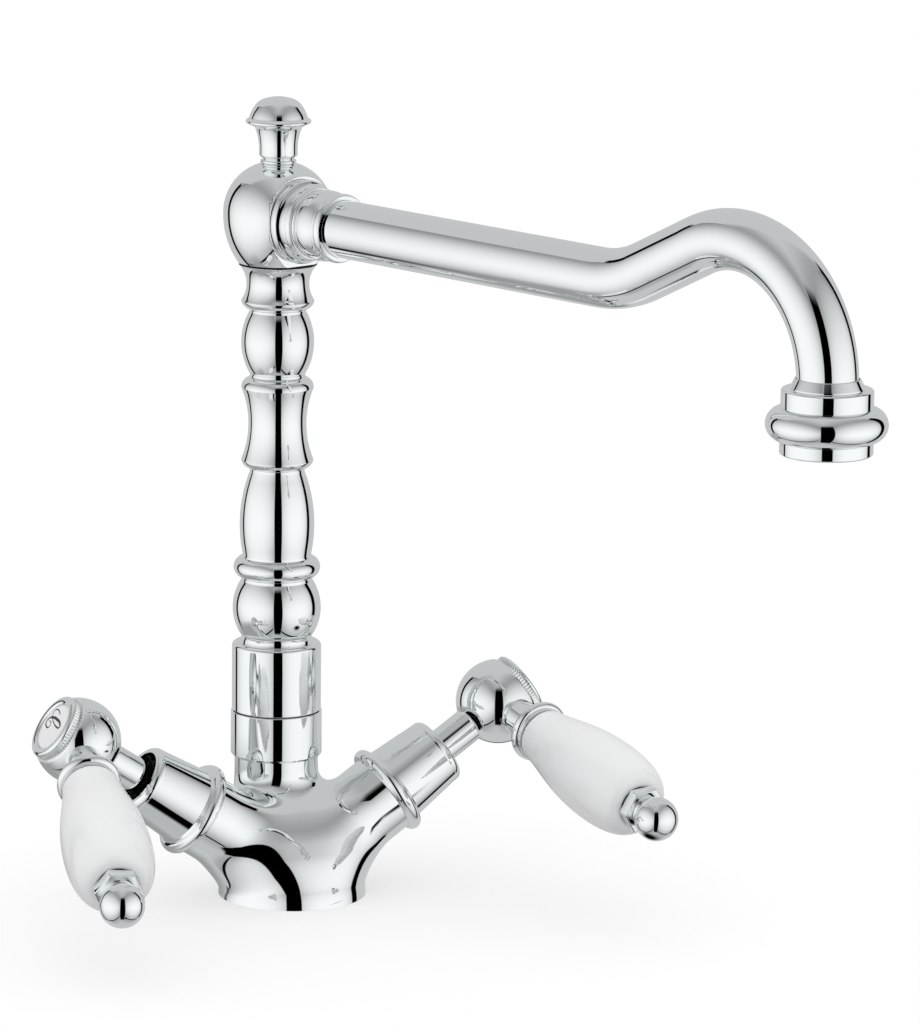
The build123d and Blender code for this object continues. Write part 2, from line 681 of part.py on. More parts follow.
def handle_hub(side):
    """Ball with an outer flat; the stem, the hub screw and the lever each have their hole."""
    flat_r = sqrt(HUB_R**2 - HUB_FLAT**2)
    ball = turned((0, -HUB_R), (HUB_R, 0, flat_r, HUB_FLAT), (0, HUB_FLAT))
    hub = on_arm(side) * Pos(0, 0, HUB_S) * ball
    hub -= on_arm(side) * rod(STEM_R + SLIDE_FIT, HUB_S - HUB_R, STEM_END)
    hub -= on_arm(side) * rod(STEM_BORE_R, STEM_END, SPINDLE_END + SLACK)
    hub -= on_arm(side) * rod(HUB_SCREW_R + 2 * SLACK, SPINDLE_END, SCREW_SEAT)
    hub -= on_arm(side) * rod(HUB_SCREW_HEAD_R + 2 * SLACK, SCREW_SEAT, INDEX_START)
    hub -= on_lever(side) * rod(COLLAR_NECK_R + SLIDE_FIT, COLLAR_SEAT, HUB_R * 2)
    hub -= on_lever(side) * rod(ROD_HOLE_R, ROD_START - SLACK, COLLAR_SEAT)
    return hub


def hub_screw(side):
    edge = HUB_SCREW_HEAD_R / 9
    screw = turned(
        (0, SPINDLE_END - HUB_SCREW_L), (HUB_SCREW_R, SPINDLE_END - HUB_SCREW_L),
        (HUB_SCREW_R, SCREW_SEAT), (HUB_SCREW_HEAD_R, SCREW_SEAT),
        (HUB_SCREW_HEAD_R, SCREW_HEAD_END - edge), (HUB_SCREW_HEAD_R - edge, SCREW_HEAD_END),
        (0, SCREW_HEAD_END),
    )
    screw -= hexagon(HUB_SCREW_KEY, SCREW_HEAD_END - KEY_DEPTH, SCREW_HEAD_END)
    return on_arm(side) * screw


def index_ring(side):
    """Knurled ring on a spigot in the hub; a shallow window holds the index disc."""
    spigot_bore = INDEX_SPIGOT_R - INDEX_SPIGOT_WALL
    lip = (INDEX_R - INDEX_WINDOW_R) * 0.4
    ring = turned(
        (spigot_bore, INDEX_START - INDEX_SPIGOT_H), (INDEX_SPIGOT_R, INDEX_START - INDEX_SPIGOT_H),
        (INDEX_SPIGOT_R, INDEX_START), (INDEX_R, INDEX_START), (INDEX_R, INDEX_END - lip),
        (INDEX_R - lip * 0.3, INDEX_END - lip * 0.3, INDEX_R - lip, INDEX_END),
        (INDEX_WINDOW_R + lip / 2, INDEX_END), (INDEX_WINDOW_R, INDEX_END - lip / 2),
        (INDEX_WINDOW_R, INDEX_FACE), (spigot_bore, INDEX_FACE),
    )
    notch = Pos(INDEX_R + KNURL_R / 3, 0, 0) * rod(KNURL_R, INDEX_START + KNURL_R, INDEX_END - lip)
    return on_arm(side) * (ring - [Rot(0, 0, 360 * i / KNURL_COUNT) * notch for i in range(KNURL_COUNT)])


def index_disc(side):
    radius = INDEX_WINDOW_R - SLIDE_FIT
    high = INDEX_FACE + INDEX_DISC_H
    edge = INDEX_DISC_H / 5
    return on_arm(side) * turned(
        (0, INDEX_FACE), (radius, INDEX_FACE), (radius, high - edge), (radius - edge, high), (0, high),
    )


def lever_collar(side):
    """Neck, flare and bead in one turned piece; the rod runs through it."""
    ring_r = COLLAR_BEAD_OUT_R - COLLAR_BEAD_R
    bead_end = COLLAR_BEAD_L + COLLAR_BEAD_R
    flare = (COLLAR_NECK_R * 0.72 + ring_r * 0.28, FLARE_START + COLLAR_FLARE_L * 0.7)
    return on_lever(side) * turned(
        (ROD_HOLE_R, COLLAR_SEAT), (COLLAR_NECK_R, COLLAR_SEAT), (COLLAR_NECK_R, FLARE_START),
        flare + (ring_r, FLARE_END), (COLLAR_BEAD_OUT_R, COLLAR_BEAD_L, ring_r, bead_end),
        (COLLAR_END_R, bead_end + COLLAR_END_L / 6), (COLLAR_END_R, COLLAR_END),
        (ROD_HOLE_R, COLLAR_END),
    )


def lever_grip(side):
    """Porcelain barrel, fullest past its middle, with a plain bore for the rod."""
    half = GRIP_START + GRIP_BELLY_L / 2
    half_r = GRIP_START_R + 0.72 * (GRIP_BELLY_R - GRIP_START_R)
    belly = GRIP_START + GRIP_BELLY_L
    past = belly + 0.62 * (GRIP_END - belly)
    past_r = GRIP_BELLY_R - 0.27 * (GRIP_BELLY_R - GRIP_TIP_R)
    outline = Spline(
        (GRIP_START_R, 0, GRIP_START), (half_r, 0, half), (GRIP_BELLY_R, 0, belly), (past_r, 0, past),
        (GRIP_TIP_R + GRIP_EDGE, 0, GRIP_END - GRIP_EDGE), (GRIP_TIP_R, 0, GRIP_END),
        tangents=[(0.25, 0, 1), (-1, 0, 0.12)],
    )
    section = make_face([
        outline,
        Line((GRIP_TIP_R, 0, GRIP_END), (GRIP_BORE_R, 0, GRIP_END)),
        Line((GRIP_BORE_R, 0, GRIP_END), (GRIP_BORE_R, 0, GRIP_START)),
        Line((GRIP_BORE_R, 0, GRIP_START), (GRIP_START_R, 0, GRIP_START)),
    ])
    return on_lever(side) * revolve(section, Axis.Z, 360)


def grip_washers(side):
    inner = ROD_R + SLACK
    near = tube(inner, NEAR_WASHER_R, COLLAR_END, GRIP_START)
    far = tube(inner, FAR_WASHER_R, GRIP_END, NUT_START)
    return Compound(children=[on_lever(side) * near, on_lever(side) * far])


def lever_nut(side):
    corner = NUT_HEX / sqrt(3)
    chamfer = turned(
        (0, NUT_START), (corner + SLACK, NUT_START), (corner + SLACK, NUT_TOP - NUT_CHAMFER),
        (corner - NUT_CHAMFER, NUT_TOP), (0, NUT_TOP),
    )
    nut = hexagon(NUT_HEX, NUT_START, NUT_TOP) & chamfer
    return on_lever(side) * (nut - rod(ROD_HOLE_R, NUT_START, NUT_TOP))


def lever_ball(side):
    meet = NUT_TOP + BALL_COLLAR_H
    ball = turned(
        (0, NUT_TOP), (BALL_COLLAR_R, NUT_TOP), (BALL_COLLAR_R, meet), (BALL_R, BALL_L, 0, BALL_L + BALL_R),
    )
    return on_lever(side) * (ball - rod(ROD_HOLE_R, NUT_TOP, ROD_END + SLACK))


def lever_rod(side):
    return on_lever(side) * rod(ROD_R, ROD_START, ROD_END)


# --- what swivels with the spout

def spigot_oring_heights():
    return [SPIGOT_BOTTOM_Z + rise for rise in SPIGOT_ORING_RISE]


def spigot_orings():
    rings = [oring(SPIGOT_GROOVE_R, NECK_BORE_R, height) for height in spigot_oring_heights()]
    return Compound(children=[on_column() * ring for ring in rings])


def column_sleeve():
    """Outer sleeve on the swivel ring, with the spigot that turns in the neck."""
    bore = SPIGOT_R - SPIGOT_WALL
    edge = SLEEVE_EDGE * 0.3
    socket_floor = SLEEVE_TOP_Z - TENON_H
    sleeve = turned(
        (bore, SPIGOT_BOTTOM_Z), (SPIGOT_R - SLEEVE_EDGE / 2, SPIGOT_BOTTOM_Z),
        (SPIGOT_R, SPIGOT_BOTTOM_Z + SLEEVE_EDGE / 2), (SPIGOT_R, SLEEVE_BOTTOM_Z),
        (SLEEVE_R, SLEEVE_BOTTOM_Z), (SLEEVE_R, SLEEVE_TOP_Z - SLEEVE_EDGE),
        (SLEEVE_R - edge, SLEEVE_TOP_Z - edge, SLEEVE_R - SLEEVE_EDGE, SLEEVE_TOP_Z),
        (TENON_SOCKET_R, SLEEVE_TOP_Z), (TENON_SOCKET_R, socket_floor), (bore, socket_floor),
    )
    for height in spigot_oring_heights():
        sleeve -= groove(SPIGOT_GROOVE_R, SPIGOT_R, ORING_GROOVE_H, height)
    sleeve -= groove(DOG_GROOVE_R, SPIGOT_R, 2 * DOG_R + 2 * SEAM_GAP, DOG_Z)
    return on_column() * sleeve


def tenon_seal_heights():
    return (SLEEVE_TOP_Z - TENON_H * 0.7, COLUMN_TOP_Z + TOP_TENON_H / 2)


def column():
    """The turned baluster: scotia, ball, bead, long barrel, spool, small barrel and bell."""
    shaft = turned(
        (COLUMN_BORE_R, SLEEVE_TOP_Z - TENON_H), (TENON_R, SLEEVE_TOP_Z - TENON_H),
        (TENON_R, SLEEVE_TOP_Z), *members(COLUMN_FOOT_R, SLEEVE_TOP_Z, COLUMN_MEMBERS),
        (TENON_R, COLUMN_TOP_Z), (TENON_R, COLUMN_TOP_Z + TOP_TENON_H),
        (COLUMN_BORE_R, COLUMN_TOP_Z + TOP_TENON_H),
    )
    for height in tenon_seal_heights():
        shaft -= groove(TENON_GROOVE_R, TENON_R, TENON_GROOVE_H, height)
    return on_column() * shaft


def column_seals():
    rings = [oring(TENON_GROOVE_R, TENON_SOCKET_R, height) for height in tenon_seal_heights()]
    return Compound(children=[on_column() * ring for ring in rings])


def ball_elbow():
    """Ball on the column with a faced side and nose for the spout nut."""
    foot_top = COLUMN_TOP_Z + ELBOW_FOOT_H
    below = (ELBOW_R * 0.931, SPOUT_Z - (SPOUT_Z - foot_top) / 2)
    above = (ELBOW_R * 0.7, SPOUT_Z + ELBOW_RISE * 0.76)
    elbow = on_column() * turned(
        (0, COLUMN_TOP_Z), (ELBOW_FOOT_R, COLUMN_TOP_Z), (ELBOW_FOOT_R, foot_top),
        below + (ELBOW_R, SPOUT_Z), above + (ELBOW_TOP_R, ELBOW_TOP_Z), (0, ELBOW_TOP_Z),
    )
    elbow -= on_spout() * rod(ELBOW_R * 2, ELBOW_FLAT, ELBOW_R * 2)
    elbow += on_spout() * rod(NOSE_R, ELBOW_FLAT - NOSE_ROOT, NOSE_END)
    elbow -= on_spout() * rod(ELBOW_BORE_R, 0, NOSE_END)
    elbow -= on_spout() * rod(TUBE_SEAT_R, TUBE_SEAT, NOSE_END)
    elbow -= on_column() * rod(COLUMN_BORE_R, COLUMN_TOP_Z, SPOUT_Z)
    elbow -= on_column() * rod(TENON_SOCKET_R, COLUMN_TOP_Z, COLUMN_TOP_Z + TOP_TENON_H)
    elbow -= on_column() * rod(FINIAL_STUD_R + SLIDE_FIT, FINIAL_STUD_Z - SEAM_GAP, ELBOW_TOP_Z)
    return elbow


def finial():
    """Cup on a small bead under a domed lid, screwed into the top of the elbow."""
    bead_top = ELBOW_TOP_Z + FINIAL_BEAD_H
    cup_foot = ELBOW_TOP_Z + CUP_FOOT_H
    cup_rim = cup_foot + CUP_H
    lid_rim = cup_rim + LID_RIM_H
    lid_waist = lid_rim + LID_WAIST_H
    shoulder = lid_waist + LID_SHOULDER_H
    between = (LID_WAIST_R * 0.72 + LID_SHOULDER_R * 0.28, lid_waist + LID_SHOULDER_H * 0.57)
    return on_column() * turned(
        (0, FINIAL_STUD_Z), (FINIAL_STUD_R, FINIAL_STUD_Z), (FINIAL_STUD_R, ELBOW_TOP_Z),
        (FINIAL_WAIST_R, ELBOW_TOP_Z),
        (FINIAL_BEAD_R, ELBOW_TOP_Z + FINIAL_BEAD_H / 2, FINIAL_WAIST_R, bead_top),
        (FINIAL_WAIST_R, bead_top + FINIAL_BEAD_H / 4), (CUP_FOOT_R, cup_foot),
        (CUP_LOW_R * 0.98, cup_foot + CUP_H * 0.05, CUP_LOW_R, cup_foot + CUP_H * 0.14),
        (CUP_LOW_R, cup_foot + CUP_H * 0.27),
        (CUP_LOW_R * 0.83 + CUP_RIM_R * 0.17, cup_foot + CUP_H * 0.57, CUP_RIM_R - CUP_LIP, cup_rim - CUP_LIP),
        (CUP_RIM_R, cup_rim), (CUP_RIM_R + LID_RIM_SWELL, cup_rim + LID_RIM_H / 2, CUP_RIM_R, lid_rim),
        (LID_BROW_R, lid_rim + LID_WAIST_H * 0.18),
        (LID_BROW_R * 0.36 + LID_WAIST_R * 0.64, lid_waist - LID_WAIST_H * 0.41, LID_WAIST_R, lid_waist),
        between + (LID_SHOULDER_R, shoulder),
        dome(LID_SHOULDER_R, shoulder, shoulder + LID_CAP_H),
    )


def spout_nut():
    """Turned nut that clamps the tube to the elbow: flange, ring, barrel and end bead."""
    thread = NOSE_R + SLIDE_FIT
    end = ELBOW_FLAT + sum(member[0] for member in NUT_MEMBERS)
    return on_spout() * turned(
        (thread, ELBOW_FLAT), *members(NUT_FLANGE_R, ELBOW_FLAT, NUT_MEMBERS),
        (TUBE_SEAT_R, end), (TUBE_SEAT_R, NOSE_END + SLACK), (thread, NOSE_END + SLACK),
    )


def spout_seal():
    return on_spout() * tube(ELBOW_BORE_R + SLACK, TUBE_R - SLACK, TUBE_SEAT, TUBE_INSERT)


def spout_route():
    """Centre line in the spout's own plane: straight, dip, rise, crest, then straight down."""
    def place(reach, height):
        flat = Vector(0, COLUMN_Y, 0) + spout_axis() * reach
        return Vector(flat.X, flat.Y, height)

    def on_dip(angle):
        return (TUBE_STRAIGHT + DIP_RADIUS * sin(angle), SPOUT_Z + DIP_RADIUS * (1 - cos(angle)))

    def on_crest(angle):
        return (REACH - CREST_RADIUS * (1 - sin(angle)), BEND_END_Z + CREST_RADIUS * cos(angle))

    slope = radians(DIP_ANGLE)
    start = place(TUBE_INSERT, SPOUT_Z)
    dip_start, dip_middle, dip_end = (place(*on_dip(angle)) for angle in (0, slope / 2, slope))
    crest_middle = (pi / 2 - slope) / 2
    crest_start, crest_middle, crest_end = (
        place(*on_crest(angle)) for angle in (-slope, crest_middle, pi / 2)
    )
    return Wire([
        Line(start, dip_start),
        ThreePointArc(dip_start, dip_middle, dip_end),
        Line(dip_end, crest_start),
        ThreePointArc(crest_start, crest_middle, crest_end),
        Line(crest_end, place(REACH, TUBE_END_Z)),
    ])


def spout_tube():
    section = on_spout() * Pos(0, 0, TUBE_INSERT) * (Circle(TUBE_R) - Circle(TUBE_BORE_R))
    return sweep(section, path=spout_route())


def outlet_collar():
    """Cone and rim on the tube's end over the big round bead that takes the aerator."""
    ring_r = OUTLET_BEAD_OUT_R - OUTLET_BEAD_R
    cone_step = RIM_TOP_Z + RIM_EDGE
    return on_outlet() * turned(
        (TUBE_SEAT_R + SLACK, CONE_TOP_Z), (CONE_TOP_R, CONE_TOP_Z), (CONE_R, cone_step),
        (CONE_R, RIM_TOP_Z), (RIM_R - RIM_EDGE, RIM_TOP_Z), (RIM_R, RIM_TOP_Z - RIM_EDGE),
        (RIM_R, OUTLET_BEAD_TOP_Z - SLACK), (ring_r, OUTLET_BEAD_TOP_Z),
        (OUTLET_BEAD_OUT_R, OUTLET_BEAD_Z, ring_r, OUTLET_FACE_Z),
        (OUTLET_THREAD_R, OUTLET_FACE_Z), (OUTLET_THREAD_R, LEDGE_Z), (TUBE_BORE_R, LEDGE_Z),
        (TUBE_BORE_R, TUBE_END_Z), (TUBE_SEAT_R, TUBE_END_Z), (TUBE_SEAT_R, BEND_END_Z),
    )


def aerator_housing():
    thread = OUTLET_THREAD_R - SLIDE_FIT
    return on_outlet() * turned(
        (HOUSING_LIP_R, HOUSING_BOTTOM_Z), (HOUSING_R - RIM_EDGE, HOUSING_BOTTOM_Z),
        (HOUSING_R, HOUSING_BOTTOM_Z + RIM_EDGE), (HOUSING_R, OUTLET_FACE_Z), (thread, OUTLET_FACE_Z),
        (thread, HOUSING_TOP_Z), (HOUSING_BORE_R, HOUSING_TOP_Z), (HOUSING_BORE_R, INSERT_Z),
        (HOUSING_LIP_R, INSERT_Z),
    )


def aerator_insert():
    """Plastic insert with a square grid of jets inside the housing's lip."""
    insert = rod(HOUSING_BORE_R - SLIDE_FIT, INSERT_Z, INSERT_Z + INSERT_H)
    field = HOUSING_LIP_R - MESH_HOLE_R - MESH_MARGIN
    steps = range(-int(field / MESH_PITCH), int(field / MESH_PITCH) + 1)
    centres = [(i * MESH_PITCH, j * MESH_PITCH) for i in steps for j in steps]
    jet = rod(MESH_HOLE_R, INSERT_Z, INSERT_Z + INSERT_H)
    jets = [Pos(x, y, 0) * jet for x, y in centres if x**2 + y**2 < field**2]
    return on_outlet() * (insert - jets)


def aerator_seal():
    outer = OUTLET_THREAD_R - SLACK
    return on_outlet() * tube(outer - AERATOR_SEAL_W, outer, HOUSING_TOP_Z, LEDGE_Z)


SINGLE_PARTS = (
    body_casting, foot_gasket, swivel_ring, swivel_washer, swivel_screw, column_sleeve,
    spigot_orings, column, column_seals, ball_elbow, finial, spout_nut, spout_seal, spout_tube,
    outlet_collar, aerator_housing, aerator_insert, aerator_seal,
)
SIDE_PARTS = (
    seat_seal, fixed_disc, bonnet, bonnet_oring, valve_cover, moving_disc, spindle, spindle_orings,
    spindle_clip, stem_sleeve, handle_hub, hub_screw, index_ring, index_disc, lever_collar,
    lever_rod, lever_grip, grip_washers, lever_nut, lever_ball,
)

os.makedirs("parts", exist_ok=True)
for make in SINGLE_PARTS:
    export_step(make(), f"parts/{make.__name__}.step")
for make in SIDE_PARTS:
    for side in (HOT, COLD):
        export_step(make(side), f"parts/{SIDE_NAMES[side]}_{make.__name__}.step")
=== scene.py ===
import json
from math import atan2, ceil, cos, pi, radians, sin, sqrt

import bmesh
import bpy
import numpy as np
from mathutils import Matrix, Vector

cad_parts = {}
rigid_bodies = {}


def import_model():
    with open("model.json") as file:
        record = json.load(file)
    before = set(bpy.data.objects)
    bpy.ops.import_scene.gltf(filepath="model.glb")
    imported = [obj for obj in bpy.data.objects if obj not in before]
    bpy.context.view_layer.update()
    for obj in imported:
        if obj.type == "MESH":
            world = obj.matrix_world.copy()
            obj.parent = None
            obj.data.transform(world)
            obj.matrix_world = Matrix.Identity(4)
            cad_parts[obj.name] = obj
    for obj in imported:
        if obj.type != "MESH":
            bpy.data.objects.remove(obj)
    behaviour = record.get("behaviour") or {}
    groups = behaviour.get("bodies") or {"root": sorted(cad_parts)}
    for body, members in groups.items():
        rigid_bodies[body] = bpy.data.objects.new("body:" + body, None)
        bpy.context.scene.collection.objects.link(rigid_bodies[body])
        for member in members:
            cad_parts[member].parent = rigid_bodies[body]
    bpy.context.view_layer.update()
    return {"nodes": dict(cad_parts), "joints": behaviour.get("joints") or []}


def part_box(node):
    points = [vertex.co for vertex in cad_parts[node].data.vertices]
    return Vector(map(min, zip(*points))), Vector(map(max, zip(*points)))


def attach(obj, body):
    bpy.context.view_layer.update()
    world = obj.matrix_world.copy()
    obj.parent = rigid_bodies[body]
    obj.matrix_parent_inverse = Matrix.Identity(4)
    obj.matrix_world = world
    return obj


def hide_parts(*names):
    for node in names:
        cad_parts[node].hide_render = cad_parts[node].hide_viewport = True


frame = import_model()


# ---------------------------------------------------------------------------
# Body casting: one brass casting, a round foot that leans back into the neck with an arm to
# each side. It is cast hollow, ground and polished so that arms and foot flow into each other,
# then chromed. The deck stud and the two hoses screw into its flat underside.

MM = 0.001
FOOT_R = 23.9
FOOT_WALL = 7.0
SADDLE_H = 30.0
SADDLE_CURVE = 1.65
FOOT_EASE = 0.16
NECK_R = 13.3
NECK_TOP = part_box("swivel_ring")[0].z / MM
THREAD_R, THREAD_TOP = 12.0, 54.6
NECK_BORE_R, NECK_BORE_LOW = 9.25, 34.0
ARM_BORE_R, ARM_BORE_START = 8.45, 18.0
STUD_HOLE_R, STUD_HOLE_H = 3.4, 12.0
INLET_R, INLET_H, INLET_X = 4.5, 8.5, 12.5
GROOVE_IN_R, GROOVE_OUT_R, GROOVE_H = 19.5, 22.5, 1.5
ARM_Y, ARM_Z = 2.0, 7.8
ARM_R, ARM_ROOT_R, ARM_NOSE, ARM_END = 13.1, 15.2, 2.0, 38.0
ARM_SWELL = (12.0, 31.0)
# reach of the fillets between foot, arms and neck, and the heights between which it changes
FLOW_LOW, FLOW_GAIN, FLOW_RISE = 1.5, 13.0, (-4, 16)
NECK_FLOW_LOSS, NECK_FLOW_FALL = 0.5, (20, 34)
VOXEL, SMOOTH_ROUNDS = 0.7, 6
# the blank is longer than the casting by SPARE, and a cutter starts OVERCUT outside its face
SPARE, OVERCUT = 6.0, 1.0
# a corner is on the ground skin when it is this close to it and its face looks the same way
SKIN_CLOSE, SKIN_SAME_WAY = 0.05, 0.8
FINE_ROUND, COARSE_ROUND = 96, 64
HOT, COLD = "hot", "cold"
# each side with the sign of its x
SIDES = {HOT: -1, COLD: 1}

joint = {entry["name"]: entry for entry in frame["joints"]}
column_y = joint["spout_swivel"]["pos_m"][1] / MM
column_foot = Vector((0, column_y, 0))
arm_root = Vector((0, ARM_Y, ARM_Z))
# The hot joint's axis points out of its arm, the cold one's into it, so both levers lift.
arm_axis = {
    HOT: Vector(joint["hot_turn"]["axis"]).normalized(),
    COLD: -Vector(joint["cold_turn"]["axis"]).normalized(),
}


def stand(origin, along=(0, 0, 1), across=(1, 0, 0)):
    """Places a piece worked in millimetres: its Z goes along, its X across."""
    z = Vector(along).normalized()
    x = (Vector(across) - Vector(across).dot(z) * z).normalized()
    turn = Matrix((x, z.cross(x), z)).transposed().to_4x4()
    return Matrix.Translation(Vector(origin) * MM) @ turn @ Matrix.Scale(MM, 4)


on_deck = stand((0, 0, 0))
on_column = stand(column_foot)
on_arm = {side: stand(arm_root, arm_axis[side], (0, 1, 0)) for side in SIDES}


def draw_outline(work, steps, fineness):
    """Draws a half section in the XZ plane. A step (r, z) runs straight to that point, and a
    step (r1, z1, r2, z2) spins round the arc through the first point to the second."""
    here = bmesh.ops.create_vert(work, co=(steps[0][0], 0, steps[0][1]))["vert"][0]
    for step in steps[1:]:
        end = Vector((step[-2], 0, step[-1]))
        if len(step) == 2:
            if (end - here.co).length > 1e-5:
                here = bmesh.ops.extrude_vert_indiv(work, verts=[here])["verts"][0]
                here.co = end
            continue
        a, b, c = here.co.xz, Vector(step[:2]), end.xz
        p, q = b - a, c - a
        cross = 2 * (p.x * q.y - p.y * q.x)
        middle = a + Vector((q.y * p.length_squared - p.y * q.length_squared,
                             p.x * q.length_squared - q.x * p.length_squared)) / cross
        start, through, stop = (atan2(v.y - middle.y, v.x - middle.x) for v in (a, b, c))
        sweep = (stop - start) % (2 * pi)
        if (through - start) % (2 * pi) > sweep:
            sweep -= 2 * pi
        spun = bmesh.ops.spin(
            work, geom=[here], cent=(middle.x, 0, middle.y), axis=(0, -1, 0), angle=sweep,
            steps=max(2, ceil(abs(sweep) / radians(fineness))),
        )
        here = spun["geom_last"][0]
        here.co = end
    return work


def turned(*steps, segments=112, fineness=3.0, edge=0.12):
    """Closes an outline and spins it round Z like a turned part, then breaks its edges."""
    work = bmesh.new()
    draw_outline(work, steps + (steps[0],), fineness)
    bmesh.ops.remove_doubles(work, verts=work.verts, dist=1e-4)
    bmesh.ops.spin(
        work, geom=work.verts[:] + work.edges[:], cent=(0, 0, 0), axis=(0, 0, 1),
        angle=2 * pi, steps=segments, use_merge=True,
    )
    bmesh.ops.remove_doubles(work, verts=work.verts, dist=1e-4)
    bmesh.ops.recalc_face_normals(work, faces=work.faces)
    break_edges(work, edge)
    return work


def plain_tube(bore_r, radius, low, high, edge=0.12):
    """A turned tube or washer with square ends."""
    return turned((bore_r, low), (radius, low), (radius, high), (bore_r, high), edge=edge)


def break_edges(work, width, least=0.4):
    """Bevels every edge that turns by more than least, in radians."""
    sharp = [e for e in work.edges if len(e.link_faces) == 2 and e.calc_face_angle() > least]
    if sharp and width:
        bmesh.ops.bevel(
            work, geom=sharp, offset=width, offset_type="OFFSET", segments=2, profile=0.5,
            affect="EDGES", material=-1, clamp_overlap=True,
        )
        weld(work)


def weld(work):
    """Joins what a bevel or a cut left less than a thousandth of a millimetre apart."""
    bmesh.ops.remove_doubles(work, verts=work.verts, dist=1e-3)
    bmesh.ops.dissolve_degenerate(work, edges=work.edges, dist=1e-4)


def add_piece(name, work, place, body, material, nodes=()):
    """Puts finished work in the scene: placed in its mesh, smooth, riding on its CAD body."""
    bmesh.ops.transform(work, matrix=place, verts=work.verts)
    mesh = bpy.data.meshes.new(name)
    work.to_mesh(mesh)
    work.free()
    mesh.shade_smooth()
    mesh.materials.append(material)
    piece = bpy.data.objects.new(name, mesh)
    bpy.context.scene.collection.objects.link(piece)
    level = piece.modifiers.new("even_shading", "WEIGHTED_NORMAL")
    level.keep_sharp = True
    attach(piece, body)
    if nodes:
        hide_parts(*nodes)
    return piece


def add_chrome(name, work, place, body, node):
    """Adds a chromed piece that replaces one CAD node."""
    return add_piece(name, work, place, body, chrome, [node])


class Signal:
    """One output socket of a node tree. Arithmetic on it adds Math nodes."""

    def __init__(self, tree, socket=None):
        self.tree = tree
        self.socket = socket

    def node(self, kind, inputs=None, output=0, **settings):
        made = self.tree.nodes.new(kind)
        for name, value in settings.items():
            setattr(made, name, value)
        for key, value in (inputs or {}).items():
            if isinstance(value, Signal):
                self.tree.links.new(value.socket, made.inputs[key])
            else:
                made.inputs[key].default_value = value
        return Signal(self.tree, made.outputs[output])

    def math(self, operation, *values):
        return self.node("ShaderNodeMath", dict(enumerate(values)), operation=operation)

    def __add__(self, other):
        return self.math("ADD", self, other)

    def __sub__(self, other):
        return self.math("SUBTRACT", self, other)

    def __rsub__(self, other):
        return self.math("SUBTRACT", other, self)

    def __mul__(self, other):
        return self.math("MULTIPLY", self, other)

    def __truediv__(self, other):
        return self.math("DIVIDE", self, other)

    def __abs__(self):
        return self.math("ABSOLUTE", self)

    def at_least(self, other):
        return self.math("MAXIMUM", self, other)

    def at_most(self, other):
        return self.math("MINIMUM", self, other)

    def ramp(self, low, high, at_low=0.0, at_high=1.0):
        """Runs smoothly from one value to the other between low and high."""
        inputs = {
            "Value": self, "From Min": low, "From Max": high, "To Min": at_low, "To Max": at_high,
        }
        return self.node("ShaderNodeMapRange", inputs, interpolation_type="SMOOTHSTEP")

    def band(self, low, high, soft):
        """1 between low and high, with soft edges."""
        return self.ramp(low - soft, low + soft) * self.ramp(high - soft, high + soft, 1.0, 0.0)

    __radd__ = __add__
    __rmul__ = __mul__


def new_material(name, **fixed):
    """A Principled material; returns it with its shader node and a Signal to build on."""
    material = bpy.data.materials.new(name)
    material.use_nodes = True
    shader = material.node_tree.nodes["Principled BSDF"]
    for socket, value in fixed.items():
        shader.inputs[socket.replace("_", " ")].default_value = value
    return material, shader, Signal(material.node_tree)


def wire(signal, shader, socket):
    signal.tree.links.new(signal.socket, shader.inputs[socket])


def noise(start, scale, detail):
    """Soft unevenness that stays fixed to its piece."""
    place = start.node("ShaderNodeTexCoord", output="Object")
    return start.node("ShaderNodeTexNoise", {"Vector": place, "Scale": scale, "Detail": detail})


def wire_bump(height, shader, strength, depth):
    """Lets the height show as bumps; depth is in metres."""
    inputs = {"Height": height, "Strength": strength, "Distance": depth}
    wire(height.node("ShaderNodeBump", inputs), shader, "Normal")


def polished_chrome():
    """Bright plate over polished brass: faint waviness from the buffing wheel and thin haze."""
    material, shader, start = new_material(
        "polished_chrome", Metallic=1.0, Base_Color=(0.875, 0.905, 0.91, 1),
    )
    haze = noise(start, scale=90.0, detail=3.0)
    wave = noise(start, scale=60.0, detail=1.0)
    wire(0.012 + haze * 0.03, shader, "Roughness")
    wire_bump(wave, shader, strength=0.35, depth=0.00012)
    return material


chrome = polished_chrome()


def eased(value, low, high):
    """0 below low, 1 above high and smooth between, for arrays."""
    share = np.clip((value - low) / (high - low), 0, 1)
    return share * share * (3 - 2 * share)


def flow_together(a, b, reach):
    """Union of two distances, with a fillet where they come within reach of each other."""
    near = np.maximum(reach - np.abs(a - b), 0) / reach
    return np.minimum(a, b) - near * near * reach / 4


def casting_distance(points):
    """Distance from the casting's skin, in millimetres: foot, saddle and neck are one leaning
    stack of round sections, and the arms flow into it and into each other."""
    x, y, z = points.T
    height = (z - FOOT_WALL) / SADDLE_H
    height = (height + np.sqrt(height * height + FOOT_EASE**2)) / 2
    lean = np.clip(1 - height, 0, 1) ** SADDLE_CURVE
    middle_y, radius = column_y * (1 - lean), NECK_R + (FOOT_R - NECK_R) * lean
    stack = np.hypot(x, y - middle_y) - radius
    reach = FLOW_LOW + FLOW_GAIN * eased(z, *FLOW_RISE)
    neck_reach = reach * (1 - NECK_FLOW_LOSS * eased(z, *NECK_FLOW_FALL))
    arms = []
    for side in SIDES:
        axis = np.array(arm_axis[side])
        out = points - (0, ARM_Y, ARM_Z)
        along = np.maximum(out @ axis, ARM_NOSE)
        swell = 1 - eased(along, *ARM_SWELL)
        off_axis = np.linalg.norm(out - along[:, None] * axis, axis=1)
        arms.append(off_axis - ARM_R - (ARM_ROOT_R - ARM_R) * swell)
    return flow_together(stack, flow_together(*arms, reach), neck_reach)


